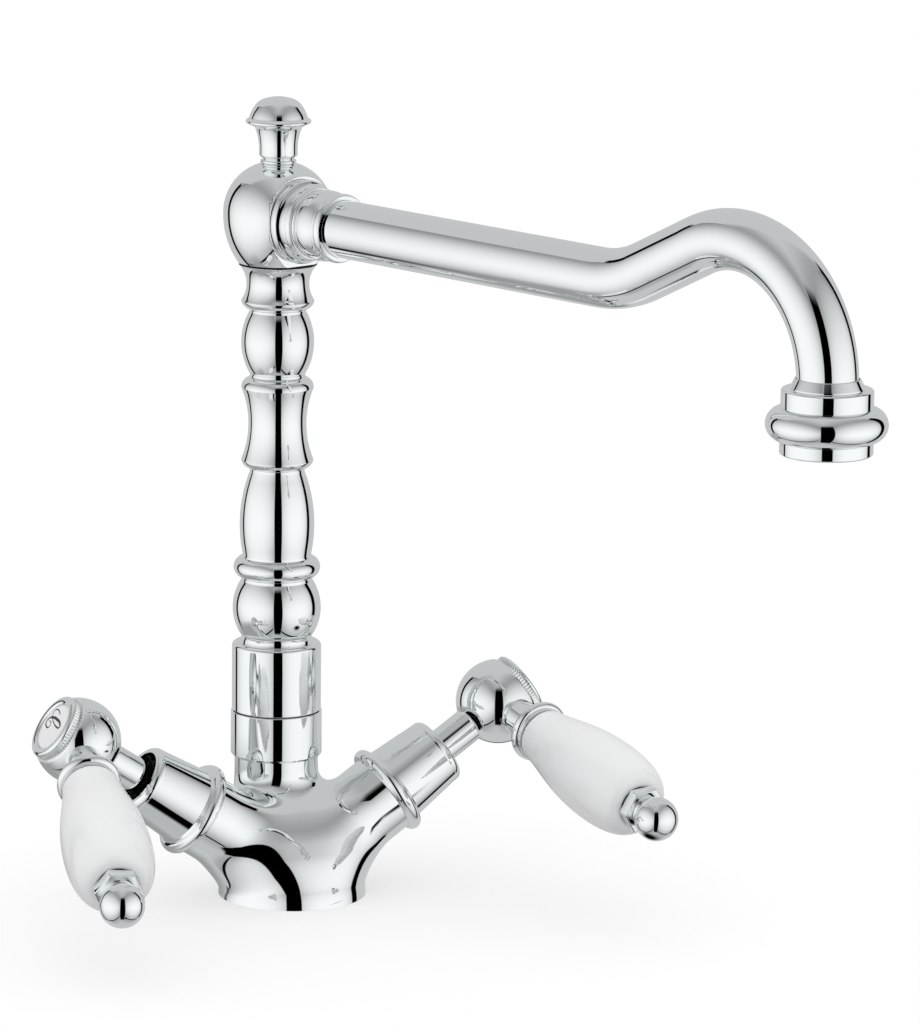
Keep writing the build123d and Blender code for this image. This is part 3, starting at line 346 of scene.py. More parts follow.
def outward(points, step=0.01):
    """Unit normals of the casting's skin at points."""
    slopes = [
        casting_distance(points + step * axis) - casting_distance(points - step * axis)
        for axis in np.eye(3)
    ]
    normals = np.stack(slopes, axis=1)
    return normals / np.linalg.norm(normals, axis=1)[:, None]


def settle_on_skin(work, rounds=4):
    """Moves every vertex along its normal to the casting's skin."""
    for _ in range(rounds):
        points = np.array([vert.co for vert in work.verts])
        points -= outward(points) * casting_distance(points)[:, None]
        for vert, point in zip(work.verts, points):
            vert.co = point


def add_rod(work, place, radius, low, high):
    """Adds a plain cylinder along the Z of place."""
    lie = Matrix.Scale(1 / MM, 4) @ place @ Matrix.Translation((0, 0, (low + high) / 2))
    bmesh.ops.create_cone(
        work, cap_ends=True, segments=FINE_ROUND, radius1=radius, radius2=radius,
        depth=high - low, matrix=lie,
    )


def casting_blank():
    """Foot, neck and arms as plain rounds pushed into each other."""
    work = bmesh.new()
    loops = []
    for back, height, radius in (
        (0, -SPARE, FOOT_R), (0, FOOT_WALL, FOOT_R), (column_y, FOOT_WALL + SADDLE_H, NECK_R),
        (column_y, NECK_TOP + SPARE, NECK_R),
    ):
        spot = Matrix.Translation((0, back, height))
        ring = bmesh.ops.create_circle(work, segments=COARSE_ROUND, radius=radius, matrix=spot)
        loops.append({edge for vert in ring["verts"] for edge in vert.link_edges})
    for below, above in zip(loops, loops[1:]):
        bmesh.ops.bridge_loops(work, edges=list(below) + list(above))
    bmesh.ops.holes_fill(work, edges=work.edges)
    for side in SIDES:
        add_rod(work, on_arm[side], ARM_R, 0, ARM_END + SPARE)
    bmesh.ops.recalc_face_normals(work, faces=work.faces)
    return work


def finished(blank):
    """The work that an object's modifiers or curve make; the object is done with."""
    graph = bpy.context.evaluated_depsgraph_get()
    graph.update()
    result = bpy.data.meshes.new_from_object(blank.evaluated_get(graph))
    bpy.data.batch_remove([blank, blank.data])
    work = bmesh.new()
    work.from_mesh(result)
    bpy.data.meshes.remove(result)
    return work


def held(work):
    """Puts work in the scene for a moment, for a modifier to run on or to cut with."""
    mesh = bpy.data.meshes.new("blank")
    work.to_mesh(mesh)
    work.free()
    blank = bpy.data.objects.new("blank", mesh)
    bpy.context.scene.collection.objects.link(blank)
    return blank


def joined_or_cut(work, other, operation):
    """Joins other to the work (UNION) or cuts it away (DIFFERENCE)."""
    blank, tool = held(work), held(other)
    step = blank.modifiers.new("step", "BOOLEAN")
    step.operation, step.solver, step.object = operation, "EXACT", tool
    work = finished(blank)
    bpy.data.batch_remove([tool, tool.data])
    weld(work)
    return work


def cut_flat(work, point, outward_way):
    """Machines a flat face: everything beyond the plane goes, and the cut is closed."""
    geometry = work.verts[:] + work.edges[:] + work.faces[:]
    cut = bmesh.ops.bisect_plane(
        work, geom=geometry, plane_co=point, plane_no=outward_way, clear_outer=True, dist=1e-4,
    )["geom_cut"]
    rim = [item for item in cut if isinstance(item, bmesh.types.BMEdge)]
    bmesh.ops.edgeloop_fill(work, edges=rim)


def shade_as_ground(mesh):
    """Gives the ground skin the normals of its true shape, and the machined faces flat ones."""
    corners = np.array([mesh.vertices[loop.vertex_index].co for loop in mesh.loops]) / MM
    flat = np.array([tuple(polygon.normal) for polygon in mesh.polygons])
    flat = np.repeat(flat, [polygon.loop_total for polygon in mesh.polygons], axis=0)
    smooth = outward(corners)
    on_skin = np.abs(casting_distance(corners)) < SKIN_CLOSE
    on_skin &= (flat * smooth).sum(axis=1) > SKIN_SAME_WAY
    mesh.normals_split_custom_set(np.where(on_skin[:, None], smooth, flat).tolist())


blank = held(casting_blank())
voxels = blank.modifiers.new("voxels", "REMESH")
voxels.mode, voxels.voxel_size = "VOXEL", VOXEL
casting = finished(blank)
settle_on_skin(casting)
for _ in range(SMOOTH_ROUNDS):
    bmesh.ops.smooth_vert(
        casting, verts=casting.verts, factor=0.5, use_axis_x=True, use_axis_y=True,
        use_axis_z=True,
    )
settle_on_skin(casting, rounds=2)
cut_flat(casting, (0, 0, 0), (0, 0, -1))
cut_flat(casting, (0, 0, NECK_TOP), (0, 0, 1))
for side in SIDES:
    cut_flat(casting, arm_root + arm_axis[side] * ARM_END, arm_axis[side])
bmesh.ops.recalc_face_normals(casting, faces=casting.faces)

thread = bmesh.new()
add_rod(thread, on_column, THREAD_R, NECK_TOP - OVERCUT, THREAD_TOP)
casting = joined_or_cut(casting, thread, "UNION")
holes = plain_tube(GROOVE_IN_R, GROOVE_OUT_R, -OVERCUT, GROOVE_H, edge=0)
add_rod(holes, on_column, NECK_BORE_R, NECK_BORE_LOW, THREAD_TOP + OVERCUT)
add_rod(holes, on_deck, STUD_HOLE_R, -OVERCUT, STUD_HOLE_H)
for side, sign in SIDES.items():
    add_rod(holes, on_arm[side], ARM_BORE_R, ARM_BORE_START, ARM_END + OVERCUT)
    add_rod(holes, stand((sign * INLET_X, ARM_Y, 0)), INLET_R, -OVERCUT, INLET_H)
casting = joined_or_cut(casting, holes, "DIFFERENCE")
faucet_body = add_chrome("faucet_body", casting, on_deck, "body", "body_casting")
faucet_body.modifiers.clear()
shade_as_ground(faucet_body.data)


# ---------------------------------------------------------------------------
# Valve covers: a tapered chromed bell with a round bead at its foot on each arm. Each screws
# onto the headwork inside it and leaves an open ring round the stem.

BEAD_R, BEAD_OUT_R = 2.2, 15.4
COVER_START, COVER_BASE_R, COVER_TOP_R = ARM_END + 4.95, 12.5, 11.1
COVER_END, COVER_ROUND = 62.2, 2.6
# a point on the round at the cover's end
COVER_SHOULDER_R, COVER_SHOULDER = COVER_TOP_R - 0.35, COVER_END - 0.87
COVER_RIM_R, COVER_MOUTH_R = 9.8, 8.7
COVER_WALL = 1.3
COVER_BORE_R = 11.2
COVER_SEAT_R, COVER_SEAT_START, COVER_SEAT_END = 9.65, 43.0, 48.0

for side in SIDES:
    ring_r = BEAD_OUT_R - BEAD_R
    cavity_r = COVER_TOP_R - COVER_WALL
    cover = turned(
        (COVER_BORE_R, ARM_END), (ring_r, ARM_END),
        (BEAD_OUT_R, ARM_END + BEAD_R, ring_r, ARM_END + 2 * BEAD_R),
        (COVER_BASE_R, COVER_START), (COVER_TOP_R, COVER_END - COVER_ROUND),
        (COVER_SHOULDER_R, COVER_SHOULDER, COVER_RIM_R, COVER_END),
        (COVER_MOUTH_R, COVER_END), (COVER_MOUTH_R, COVER_END - COVER_WALL),
        (cavity_r, COVER_END - COVER_ROUND - COVER_WALL), (cavity_r, COVER_SEAT_END),
        (COVER_SEAT_R, COVER_SEAT_END), (COVER_SEAT_R, COVER_SEAT_START),
        (COVER_BORE_R, COVER_SEAT_START),
    )
    add_chrome(f"{side}_cover", cover, on_arm[side], "body", f"{side}_valve_cover")


# ---------------------------------------------------------------------------
# Headwork and seals inside: near-black brass, rubber, steel and ceramic as they come from the
# machine. Almost nothing of them shows, only the brass neck deep in the cover's mouth.

def plain_finish(name, colour, rough, metal=0.0):
    """A plain machined or moulded surface with a fine, slightly uneven grain."""
    material, shader, start = new_material(name, Base_Color=colour + (1,), Metallic=metal)
    grain = noise(start, scale=400.0, detail=4.0)
    wire(rough + grain * 0.12, shader, "Roughness")
    wire_bump(grain, shader, strength=0.3, depth=0.00002)
    return material


# This near-black brass also serves as painted shade on the faces in the gap under the elbow.
brass_and_gap_shade = plain_finish("near_black_brass_and_gap_shade", (0.015, 0.012, 0.008), rough=0.6, metal=0.2)
black_rubber = plain_finish("black_rubber", (0.02, 0.02, 0.02), rough=0.6)
stainless = plain_finish("stainless_steel", (0.55, 0.55, 0.55), rough=0.2, metal=1.0)
white_acetal = plain_finish("white_acetal", (0.75, 0.75, 0.73), rough=0.4)
lapped_ceramic = plain_finish("lapped_ceramic", (0.85, 0.84, 0.8), rough=0.35)

inner_finish = {
    "foot_gasket": black_rubber, "spigot_orings": black_rubber, "column_seals": black_rubber,
    "spout_seal": black_rubber, "aerator_seal": black_rubber, "swivel_washer": white_acetal,
    "aerator_insert": white_acetal, "swivel_screw": stainless,
}
for side in SIDES:
    inner_finish.update({
        f"{side}_bonnet": brass_and_gap_shade, f"{side}_spindle": brass_and_gap_shade,
        f"{side}_seat_seal": black_rubber, f"{side}_bonnet_oring": black_rubber,
        f"{side}_spindle_orings": black_rubber, f"{side}_fixed_disc": lapped_ceramic,
        f"{side}_moving_disc": lapped_ceramic, f"{side}_spindle_clip": stainless,
        f"{side}_hub_screw": stainless, f"{side}_lever_rod": stainless,
    })
for node, finish in inner_finish.items():
    materials = frame["nodes"][node].data.materials
    materials.clear()
    materials.append(finish)


# ---------------------------------------------------------------------------
# Handle hubs: a chromed ball on a plain stem at the end of each spindle. A knurled ring in its
# outer flat holds a white enamelled disc with the hot or cold letter.

HUB_S, HUB_R, HUB_FLAT = 86.6, 13.6, 7.2
STEM_R, STEM_BORE_R, STEM_START, STEM_END = 5.56, 3.55, 55.75, 75.0
INDEX_START, INDEX_H, INDEX_FLOOR = HUB_S + HUB_FLAT, 3.2, 1.2
INDEX_FLOOR_S, INDEX_END = INDEX_START + INDEX_FLOOR, INDEX_START + INDEX_H
INDEX_R, INDEX_WINDOW_R, INDEX_ROUND = 10.6, 7.8, 1.1
# a point on the round at the ring's end
INDEX_SHOULDER_R, INDEX_SHOULDER = INDEX_R - 0.35, INDEX_END - 0.3
# the bevel round the window: across and down
WINDOW_BEVEL, WINDOW_BEVEL_H = 0.6, 0.5
# a tooth takes KNURL_STEPS steps of the spin, and the first of them is pressed in
KNURL_TEETH, KNURL_STEPS, KNURL_DEPTH = 66, 3, 0.6
# the knurl runs from KNURL_LOW to KNURL_H over the ring's foot, and its last KNURL_END slopes
KNURL_LOW, KNURL_H, KNURL_END, KNURL_RIM = 0.1, 1.8, 0.2, 0.4

for side in SIDES:
    body = f"{side}_handle"
    flat_r = sqrt(HUB_R**2 - HUB_FLAT**2)
    ball = turned(
        (0, HUB_S - HUB_R), (HUB_R, HUB_S, flat_r, INDEX_START), (0, INDEX_START),
    )
    add_chrome(f"{side}_ball_hub", ball, on_arm[side], body, f"{side}_handle_hub")
    stem = plain_tube(STEM_BORE_R, STEM_R, STEM_START, STEM_END)
    add_chrome(f"{side}_stem", stem, on_arm[side], body, f"{side}_stem_sleeve")

    knurl_top = INDEX_START + KNURL_H
    ring = turned(
        (0, INDEX_START), (INDEX_R, INDEX_START), (INDEX_R, knurl_top - KNURL_END),
        (INDEX_R, knurl_top), (INDEX_R, INDEX_END - INDEX_ROUND),
        (INDEX_SHOULDER_R, INDEX_SHOULDER, INDEX_R - INDEX_ROUND, INDEX_END),
        (INDEX_WINDOW_R + WINDOW_BEVEL, INDEX_END), (INDEX_WINDOW_R, INDEX_END - WINDOW_BEVEL_H),
        (INDEX_WINDOW_R, INDEX_FLOOR_S), (0, INDEX_FLOOR_S), segments=KNURL_STEPS * KNURL_TEETH,
    )
    for vert in ring.verts:
        share = (atan2(vert.co.y, vert.co.x) % (2 * pi)) / (2 * pi)
        pressed = round(share * KNURL_STEPS * KNURL_TEETH) % KNURL_STEPS == 0
        on_knurl = INDEX_START + KNURL_LOW < vert.co.z < knurl_top
        if pressed and on_knurl and vert.co.xy.length > INDEX_R - KNURL_RIM:
            vert.co.xy *= 1 - KNURL_DEPTH / INDEX_R
    add_chrome(f"{side}_knurled_ring", ring, on_arm[side], body, f"{side}_index_ring")


# ---------------------------------------------------------------------------
# Index discs: small white enamelled discs, each with one dark letter, hot on the left. Each
# sits in the shallow window of its ring.

DISC_R, DISC_EDGE = INDEX_WINDOW_R - 0.05, 0.3
DISC_FACE_S = INDEX_FLOOR_S + 1.4
PEN_WEIGHT, LETTER_DROP, INK_FLAT = 1.4, 0.5, 0.15
# each letter as pen strokes of (x, y, half the pen's width) on its disc, in millimetres
LETTER_STROKES = {
    HOT: [[
        (0.1, -3.7, 0.13), (1.4, -4.4, 0.14), (3.6, -4.7, 0.16), (5.0, -3.9, 0.13),
        (4.8, -2.6, 0.12), (3.2, -1.4, 0.12), (0.7, -0.5, 0.14), (-2.5, 0.1, 0.2),
        (-4.3, -0.3, 0.24), (-3.4, -1.3, 0.28), (0.0, -2.0, 0.34), (3.4, -1.9, 0.34),
        (5.7, -1.0, 0.24), (6.1, 0.4, 0.2), (4.7, 1.5, 0.2), (2.7, 1.5, 0.18),
        (2.4, 0.4, 0.13), (3.7, -0.4, 0.12), (4.6, -0.4, 0.1),
    ]],
    COLD: [
        [(2.9, 1.3, 0.1), (3.2, 2.5, 0.14), (1.8, 3.4, 0.2), (-0.8, 3.2, 0.3), (-3.6, 3.9, 0.14)],
        [(-0.9, 3.2, 0.16), (0.3, 0.8, 0.3), (0.6, -1.6, 0.32), (1.8, -3.4, 0.2),
         (3.3, -3.0, 0.12)],
        [(2.0, 0.4, 0.1), (0.4, 0.2, 0.18), (-1.7, 0.6, 0.1)],
    ],
}

enamel = plain_finish("white_enamel", (0.9, 0.9, 0.9), rough=0.12)
dark_ink = plain_finish("dark_ink", (0.03, 0.03, 0.035), rough=0.35)

for side in SIDES:
    body = f"{side}_handle"
    disc = turned(
        (0, INDEX_FLOOR_S), (DISC_R, INDEX_FLOOR_S), (DISC_R, DISC_FACE_S - DISC_EDGE),
        (DISC_R - DISC_EDGE, DISC_FACE_S), (0, DISC_FACE_S),
    )
    add_piece(f"{side}_enamel_disc", disc, on_arm[side], body, enamel,
              [f"{side}_index_disc"])

    pen = bpy.data.curves.new("pen", "CURVE")
    pen.dimensions, pen.bevel_depth, pen.bevel_resolution, pen.use_fill_caps = "3D", 1.0, 3, True
    for points in LETTER_STROKES[side]:
        stroke = pen.splines.new("BEZIER")
        stroke.bezier_points.add(len(points) - 1)
        for spot, (x, y, half) in zip(stroke.bezier_points, points):
            spot.co, spot.radius = (x, y - LETTER_DROP, 0), PEN_WEIGHT * half
            spot.handle_left_type = spot.handle_right_type = "AUTO"
    written = bpy.data.objects.new("pen", pen)
    bpy.context.scene.collection.objects.link(written)
    letter = finished(written)
    bmesh.ops.remove_doubles(letter, verts=letter.verts, dist=1e-4)
    bmesh.ops.scale(letter, verts=letter.verts, vec=(1, 1, INK_FLAT))
    bmesh.ops.translate(letter, verts=letter.verts, vec=(0, 0, DISC_FACE_S))
    bmesh.ops.recalc_face_normals(letter, faces=letter.faces)
    add_piece(f"{side}_letter", letter, on_arm[side], body, dark_ink)


# ---------------------------------------------------------------------------
# Levers: each stands square to its stem. A turned collar screws into the ball, the porcelain
# grip is clamped on a rod between two thin washers by a hexagon nut, and a small ball ends it.

LEVER_TURN = {HOT: radians(68.6), COLD: radians(76.6)}
COLLAR_BORE_R, COLLAR_SEAT, COLLAR_END = 3.05, 11.6, 28.0
COLLAR_NECK_R, COLLAR_NECK_END, COLLAR_FACE_R = 5.8, 19.0, 8.8
# sides of collar and grip as outline steps, their heights counted from the ball hub's middle
COLLAR_SIDE = ((6.6, 21.9, 8.3, 23.3), (10.0, 25.0, 8.3, 26.7), (8.8, 26.95))
GRIP_BORE_R, GRIP_START, GRIP_END, GRIP_SMOOTHING = 3.5, 28.6, 84.4, 3
GRIP_SIDE = (
    (8.6, GRIP_START), (9.0, GRIP_START + 0.5), (9.5, 33.6), (11.15, 41.6), (12.65, 49.6),
    (13.5, 57.6), (13.8, 65.0), (13.54, 72.0), (12.75, 77.4), (11.5, 81.4), (9.8, 83.6),
    (7.9, GRIP_END),
)
WASHER_BORE_R, NEAR_WASHER_R, FAR_WASHER_R = 3.1, 7.6, 6.2
FAR_WASHER_H, WASHER_EDGE = 0.6, 0.15
NUT_START, NUT_SIDES, NUT_FLATS = GRIP_END + FAR_WASHER_H, 6, 13.2
NUT_H, NUT_EDGE = 3.7, 0.35
BALL_R, BALL_L = 6.9, 94.3
# the flat foot of the end ball, its heights counted from the nut
BALL_FOOT = ((0, 0), (5.0, 0), (5.0, 0.5), (4.6, 0.85))

on_lever = {}
for side, sign in SIDES.items():
    hub = arm_root + arm_axis[side] * HUB_S
    drop = Vector((sign * arm_axis[side].z, 0, -abs(arm_axis[side].x)))
    lever = drop * cos(LEVER_TURN[side]) + Vector((0, -1, 0)) * sin(LEVER_TURN[side])
    on_lever[side] = stand(hub, lever, arm_axis[side])


def glazed_porcelain():
    """White porcelain under a clear glaze, with a trace of unevenness in the glaze."""
    material, shader, start = new_material(
        "glazed_porcelain", Base_Color=(0.9, 0.905, 0.91, 1), Coat_Weight=0.35,
        Coat_Roughness=0.06,
    )
    unevenness = noise(start, scale=120.0, detail=2.0)
    wire(0.22 + unevenness * 0.06, shader, "Roughness")
    wire_bump(unevenness, shader, strength=0.25, depth=0.00006)
    return material


porcelain = glazed_porcelain()


def raised(steps, height):
    """Outline steps moved up by height."""
    return [tuple(value + height * (i % 2) for i, value in enumerate(step)) for step in steps]


for side in SIDES:
    body, place = f"{side}_handle", on_lever[side]
    collar = turned(
        (COLLAR_BORE_R, COLLAR_SEAT), (COLLAR_NECK_R, COLLAR_SEAT),
        (COLLAR_NECK_R, COLLAR_NECK_END), *COLLAR_SIDE, (COLLAR_FACE_R, COLLAR_END),
        (COLLAR_BORE_R, COLLAR_END),
    )
    add_chrome(f"{side}_collar", collar, place, body, f"{side}_lever_collar")

    grip = turned(
        (GRIP_BORE_R, GRIP_START), *GRIP_SIDE, (GRIP_BORE_R, GRIP_END), segments=40, edge=0,
    )
    piece = add_piece(f"{side}_porcelain_grip", grip, place, body, porcelain,
                      [f"{side}_lever_grip"])
    piece.modifiers.clear()
    rounding = piece.modifiers.new("glaze_round", "SUBSURF")
    rounding.levels = rounding.render_levels = GRIP_SMOOTHING

    near = plain_tube(WASHER_BORE_R, NEAR_WASHER_R, COLLAR_END, GRIP_START, edge=WASHER_EDGE)
    far = plain_tube(WASHER_BORE_R, FAR_WASHER_R, GRIP_END, NUT_START, edge=WASHER_EDGE)
    washers = joined_or_cut(near, far, "UNION")
    add_chrome(f"{side}_washers", washers, place, body, f"{side}_grip_washers")

    nut = bmesh.new()
    corner_r = NUT_FLATS / sqrt(3)
    bmesh.ops.create_cone(
        nut, cap_ends=True, segments=NUT_SIDES, radius1=corner_r, radius2=corner_r, depth=NUT_H,
        matrix=Matrix.Translation((0, 0, NUT_START + NUT_H / 2)),
    )
    break_edges(nut, NUT_EDGE)
    add_chrome(f"{side}_hexagon_nut", nut, place, body, f"{side}_lever_nut")

    knob = turned(*raised(BALL_FOOT, NUT_START + NUT_H), (BALL_R, BALL_L, 0, BALL_L + BALL_R))
    add_chrome(f"{side}_ball_end", knob, place, body, f"{side}_lever_ball")


# ---------------------------------------------------------------------------
# Swivel ring and sleeve: a chromed ring screwed on the neck holds the spout's sleeve down,
# and the sleeve turns on it over a thin plastic washer.

RING_R, RING_TOP, RING_BORE_R = 14.5, 56.9, 9.4
RING_BEVEL, RING_EDGE, RING_GAP = 0.8, 0.2, 0.1
WASHER_SEAT_R, WASHER_SEAT_H = 12.1, 1.0
SCREW_HOLE_R, SCREW_HOLE_START = 2.5, 10.0
SPIGOT_R, SPIGOT_BORE_R, SPIGOT_LOW, SPIGOT_BEVEL = 9.2, 6.0, 36.5, 0.6
SLEEVE_R, SLEEVE_LOW, SLEEVE_TOP = 14.2, 57.2, 79.0
SLEEVE_EDGE, SLEEVE_ROUND = 0.2, 1.2
# how far the round at its top is in from side and top halfway round
SLEEVE_HALFWAY = 0.36
SOCKET_R, SOCKET_LOW = 8.05, 69.0

thread_r, thread_end = THREAD_R + RING_GAP, THREAD_TOP + RING_GAP
ring = turned(
    (thread_r, NECK_TOP), (RING_R - RING_BEVEL, NECK_TOP), (RING_R, NECK_TOP + RING_BEVEL),
    (RING_R, RING_TOP - RING_EDGE), (RING_R - RING_EDGE, RING_TOP), (WASHER_SEAT_R, RING_TOP),
    (WASHER_SEAT_R, RING_TOP - WASHER_SEAT_H), (RING_BORE_R, RING_TOP - WASHER_SEAT_H),
    (RING_BORE_R, thread_end), (thread_r, thread_end),
)
# The grub screw's head stands in its hole at the rear.
screw_low, screw_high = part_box("swivel_screw")
screw_z = (screw_low.z + screw_high.z) / 2 / MM
screw_hole = bmesh.new()
behind = stand((0, column_y, screw_z), (0, 1, 0))
add_rod(screw_hole, behind, SCREW_HOLE_R, SCREW_HOLE_START, RING_R + OVERCUT)
bmesh.ops.translate(screw_hole, verts=screw_hole.verts, vec=-column_foot)
ring = joined_or_cut(ring, screw_hole, "DIFFERENCE")
add_chrome("neck_ring", ring, on_column, "body", "swivel_ring")

sleeve = turned(
    (SPIGOT_BORE_R, SPIGOT_LOW), (SPIGOT_R - SPIGOT_BEVEL, SPIGOT_LOW),
    (SPIGOT_R, SPIGOT_LOW + SPIGOT_BEVEL), (SPIGOT_R, SLEEVE_LOW),
    (SLEEVE_R - SLEEVE_EDGE, SLEEVE_LOW), (SLEEVE_R, SLEEVE_LOW + SLEEVE_EDGE),
    (SLEEVE_R, SLEEVE_TOP - SLEEVE_ROUND),
    (SLEEVE_R - SLEEVE_HALFWAY, SLEEVE_TOP - SLEEVE_HALFWAY, SLEEVE_R - SLEEVE_ROUND, SLEEVE_TOP),
    (SOCKET_R, SLEEVE_TOP), (SOCKET_R, SOCKET_LOW), (SPIGOT_BORE_R, SOCKET_LOW),
)
add_chrome("spout_sleeve", sleeve, on_column, "spout", "column_sleeve")


# ---------------------------------------------------------------------------
# Column: one bar turned as a baluster and polished, from the scotia at its foot by way of
# ball, bead, long barrel, spool and small barrel to the bell under the elbow.

COLUMN_FOOT_R, COLUMN_BORE_R, COLUMN_SPIGOT_R, COLUMN_SPIGOT_H = 11.7, 5.0, 8.0, 5.0
# each member from the bottom up: height, radius at half its height, radius at its top
COLUMN_MEMBERS = (
    (3.4, 11.25, 12.0), (16.8, 14.0, 11.3), (1.0, 11.25, 11.2), (6.5, 13.75, 11.0),
    (0.9, 10.95, 10.9), (26.6, 11.7, 8.7), (1.2, 8.7, 8.7), (2.6, 10.9, 11.45),
    (23.2, 9.18, 11.45), (3.1, 11.1, 9.3), (1.3, 8.8, 8.75), (19.9, 11.5, 8.95),
    (0.8, 8.95, 8.95), (2.7, 11.0, 11.55), (11.6, 9.9, 12.5),
)


def members(radius, height, stack, straight=0.02):
    """Outline steps of turned members, one above the other. One that bulges by no more than
    straight is a plain cone."""
    steps = [(radius, height)]
    for length, middle, end in stack:
        bulge = abs(middle - (radius + end) / 2) > straight
        through = (middle, height + length / 2) if bulge else ()
        steps.append(through + (end, height + length))
        radius, height = end, height + length
    return steps


column_outline = members(COLUMN_FOOT_R, SLEEVE_TOP, COLUMN_MEMBERS)
COLUMN_TOP = column_outline[-1][-1]
spigot_top = COLUMN_TOP + COLUMN_SPIGOT_H
column = turned(
    (COLUMN_BORE_R, SOCKET_LOW), (COLUMN_SPIGOT_R, SOCKET_LOW), (COLUMN_SPIGOT_R, SLEEVE_TOP),
    *column_outline, (COLUMN_SPIGOT_R, COLUMN_TOP), (COLUMN_SPIGOT_R, spigot_top),
    (COLUMN_BORE_R, spigot_top),
)
add_chrome("baluster", column, on_column, "spout", "column")


# ---------------------------------------------------------------------------
# Elbow and finial: a chromed ball on the column, faced on the side where the spout leaves.
# The little urn with its lid screws into its top.

SPOUT_TURN = radians(17.7)
SPOUT_Z = COLUMN_TOP + 14.8
ELBOW_R, ELBOW_FLAT, ELBOW_TOP = 17.23, 11.3, COLUMN_TOP + 31.3
LIP_R, LIP_GAP, LIP_GAP_DEPTH = 12.6, 0.6, 1.4
# outline steps of the ball, its heights counted from the spout's middle line
ELBOW_SIDE = ((16.1, -7.0, ELBOW_R, 1.2), (12.5, 12.9, 4.6, 17.2), (0, 17.2))
# the same for the urn over the elbow's top: screw, foot, bead, cup, rim and lid
URN_SIDE = (
    (0, -8), (2.5, -8), (2.5, 0),
    (4.7, 0), (4.9, 0.5),
    (5.7, 1.2, 5.1, 1.9), (4.8, 2.3), (5.7, 2.7),
    (6.0, 3.1, 6.1, 3.6), (6.4, 8.4, 7.4, 11.8), (8.7, 12.7), (10.0, 13.2),
    (10.3, 13.8, 9.9, 14.4), (9.2, 14.9),
    (8.6, 16.6, 7.7, 18.2), (6.2, 19.9, 4.0, 20.9), (2.0, 21.35, 0, 21.5),
)

spout_axis = Vector((sin(SPOUT_TURN), -cos(SPOUT_TURN), 0))
on_spout = stand((0, column_y, SPOUT_Z), spout_axis, (0, 0, 1))

lip_z = COLUMN_TOP + LIP_GAP
elbow = turned(
    (0, COLUMN_TOP), (LIP_R - LIP_GAP_DEPTH, COLUMN_TOP), (LIP_R - LIP_GAP_DEPTH, lip_z),
    (LIP_R, lip_z), *raised(ELBOW_SIDE, SPOUT_Z), edge=0.1,
)
bmesh.ops.transform(elbow, matrix=Matrix.Translation(column_foot), verts=elbow.verts)
cut_flat(elbow, column_foot + spout_axis * ELBOW_FLAT, spout_axis)
bmesh.ops.recalc_face_normals(elbow, faces=elbow.faces)
ball_joint = add_chrome("ball_joint", elbow, on_deck, "spout", "ball_elbow")
# Painted shade: the faces in the narrow gap over the column take the near-black brass finish,
# which draws the gap as a dark line.
ball_joint.data.materials.append(brass_and_gap_shade)
for polygon in ball_joint.data.polygons:
    if polygon.center.z < (lip_z + 0.05) * MM:
        polygon.material_index = 1

urn = turned(*raised(URN_SIDE, ELBOW_TOP))
add_chrome("urn_finial", urn, on_column, "spout", "finial")


# ---------------------------------------------------------------------------
# Spout: an 18 mm tube bent to a dip and a crest, clamped to the elbow by a turned nut. Both
# are polished and chromed.

TUBE_R, TUBE_GAP, TUBE_INSERT, TUBE_STRAIGHT = 9.0, 0.05, 8.0, 147.6
DIP_RADIUS, DIP_ANGLE, RISE, CREST_RADIUS = 46.0, radians(25.1), 24.7, 37.2
OUTLET_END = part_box("spout_tube")[0].z / MM
# pieces of its five stretches: straight, dip, rise, crest and end
TUBE_PIECES = (12, 10, 4, 46, 2)
NUT_FOOT_R = 12.3
NUT_MEMBERS = (
    (2.9, 13.25, 12.5), (1.7, 11.6, 11.1), (2.8, 11.75, 11.2), (0.9, 10.4, 10.4),
    (7.7, 11.15, 10.1), (0.9, 9.9, 9.95), (3.2, 10.85, 10.2),
)

nut_outline = members(NUT_FOOT_R, ELBOW_FLAT, NUT_MEMBERS)
nut_bore_r = TUBE_R + TUBE_GAP
nut = turned((nut_bore_r, ELBOW_FLAT), *nut_outline, (nut_bore_r, nut_outline[-1][-1]))
add_chrome("clamp_nut", nut, on_spout, "spout", "spout_nut")


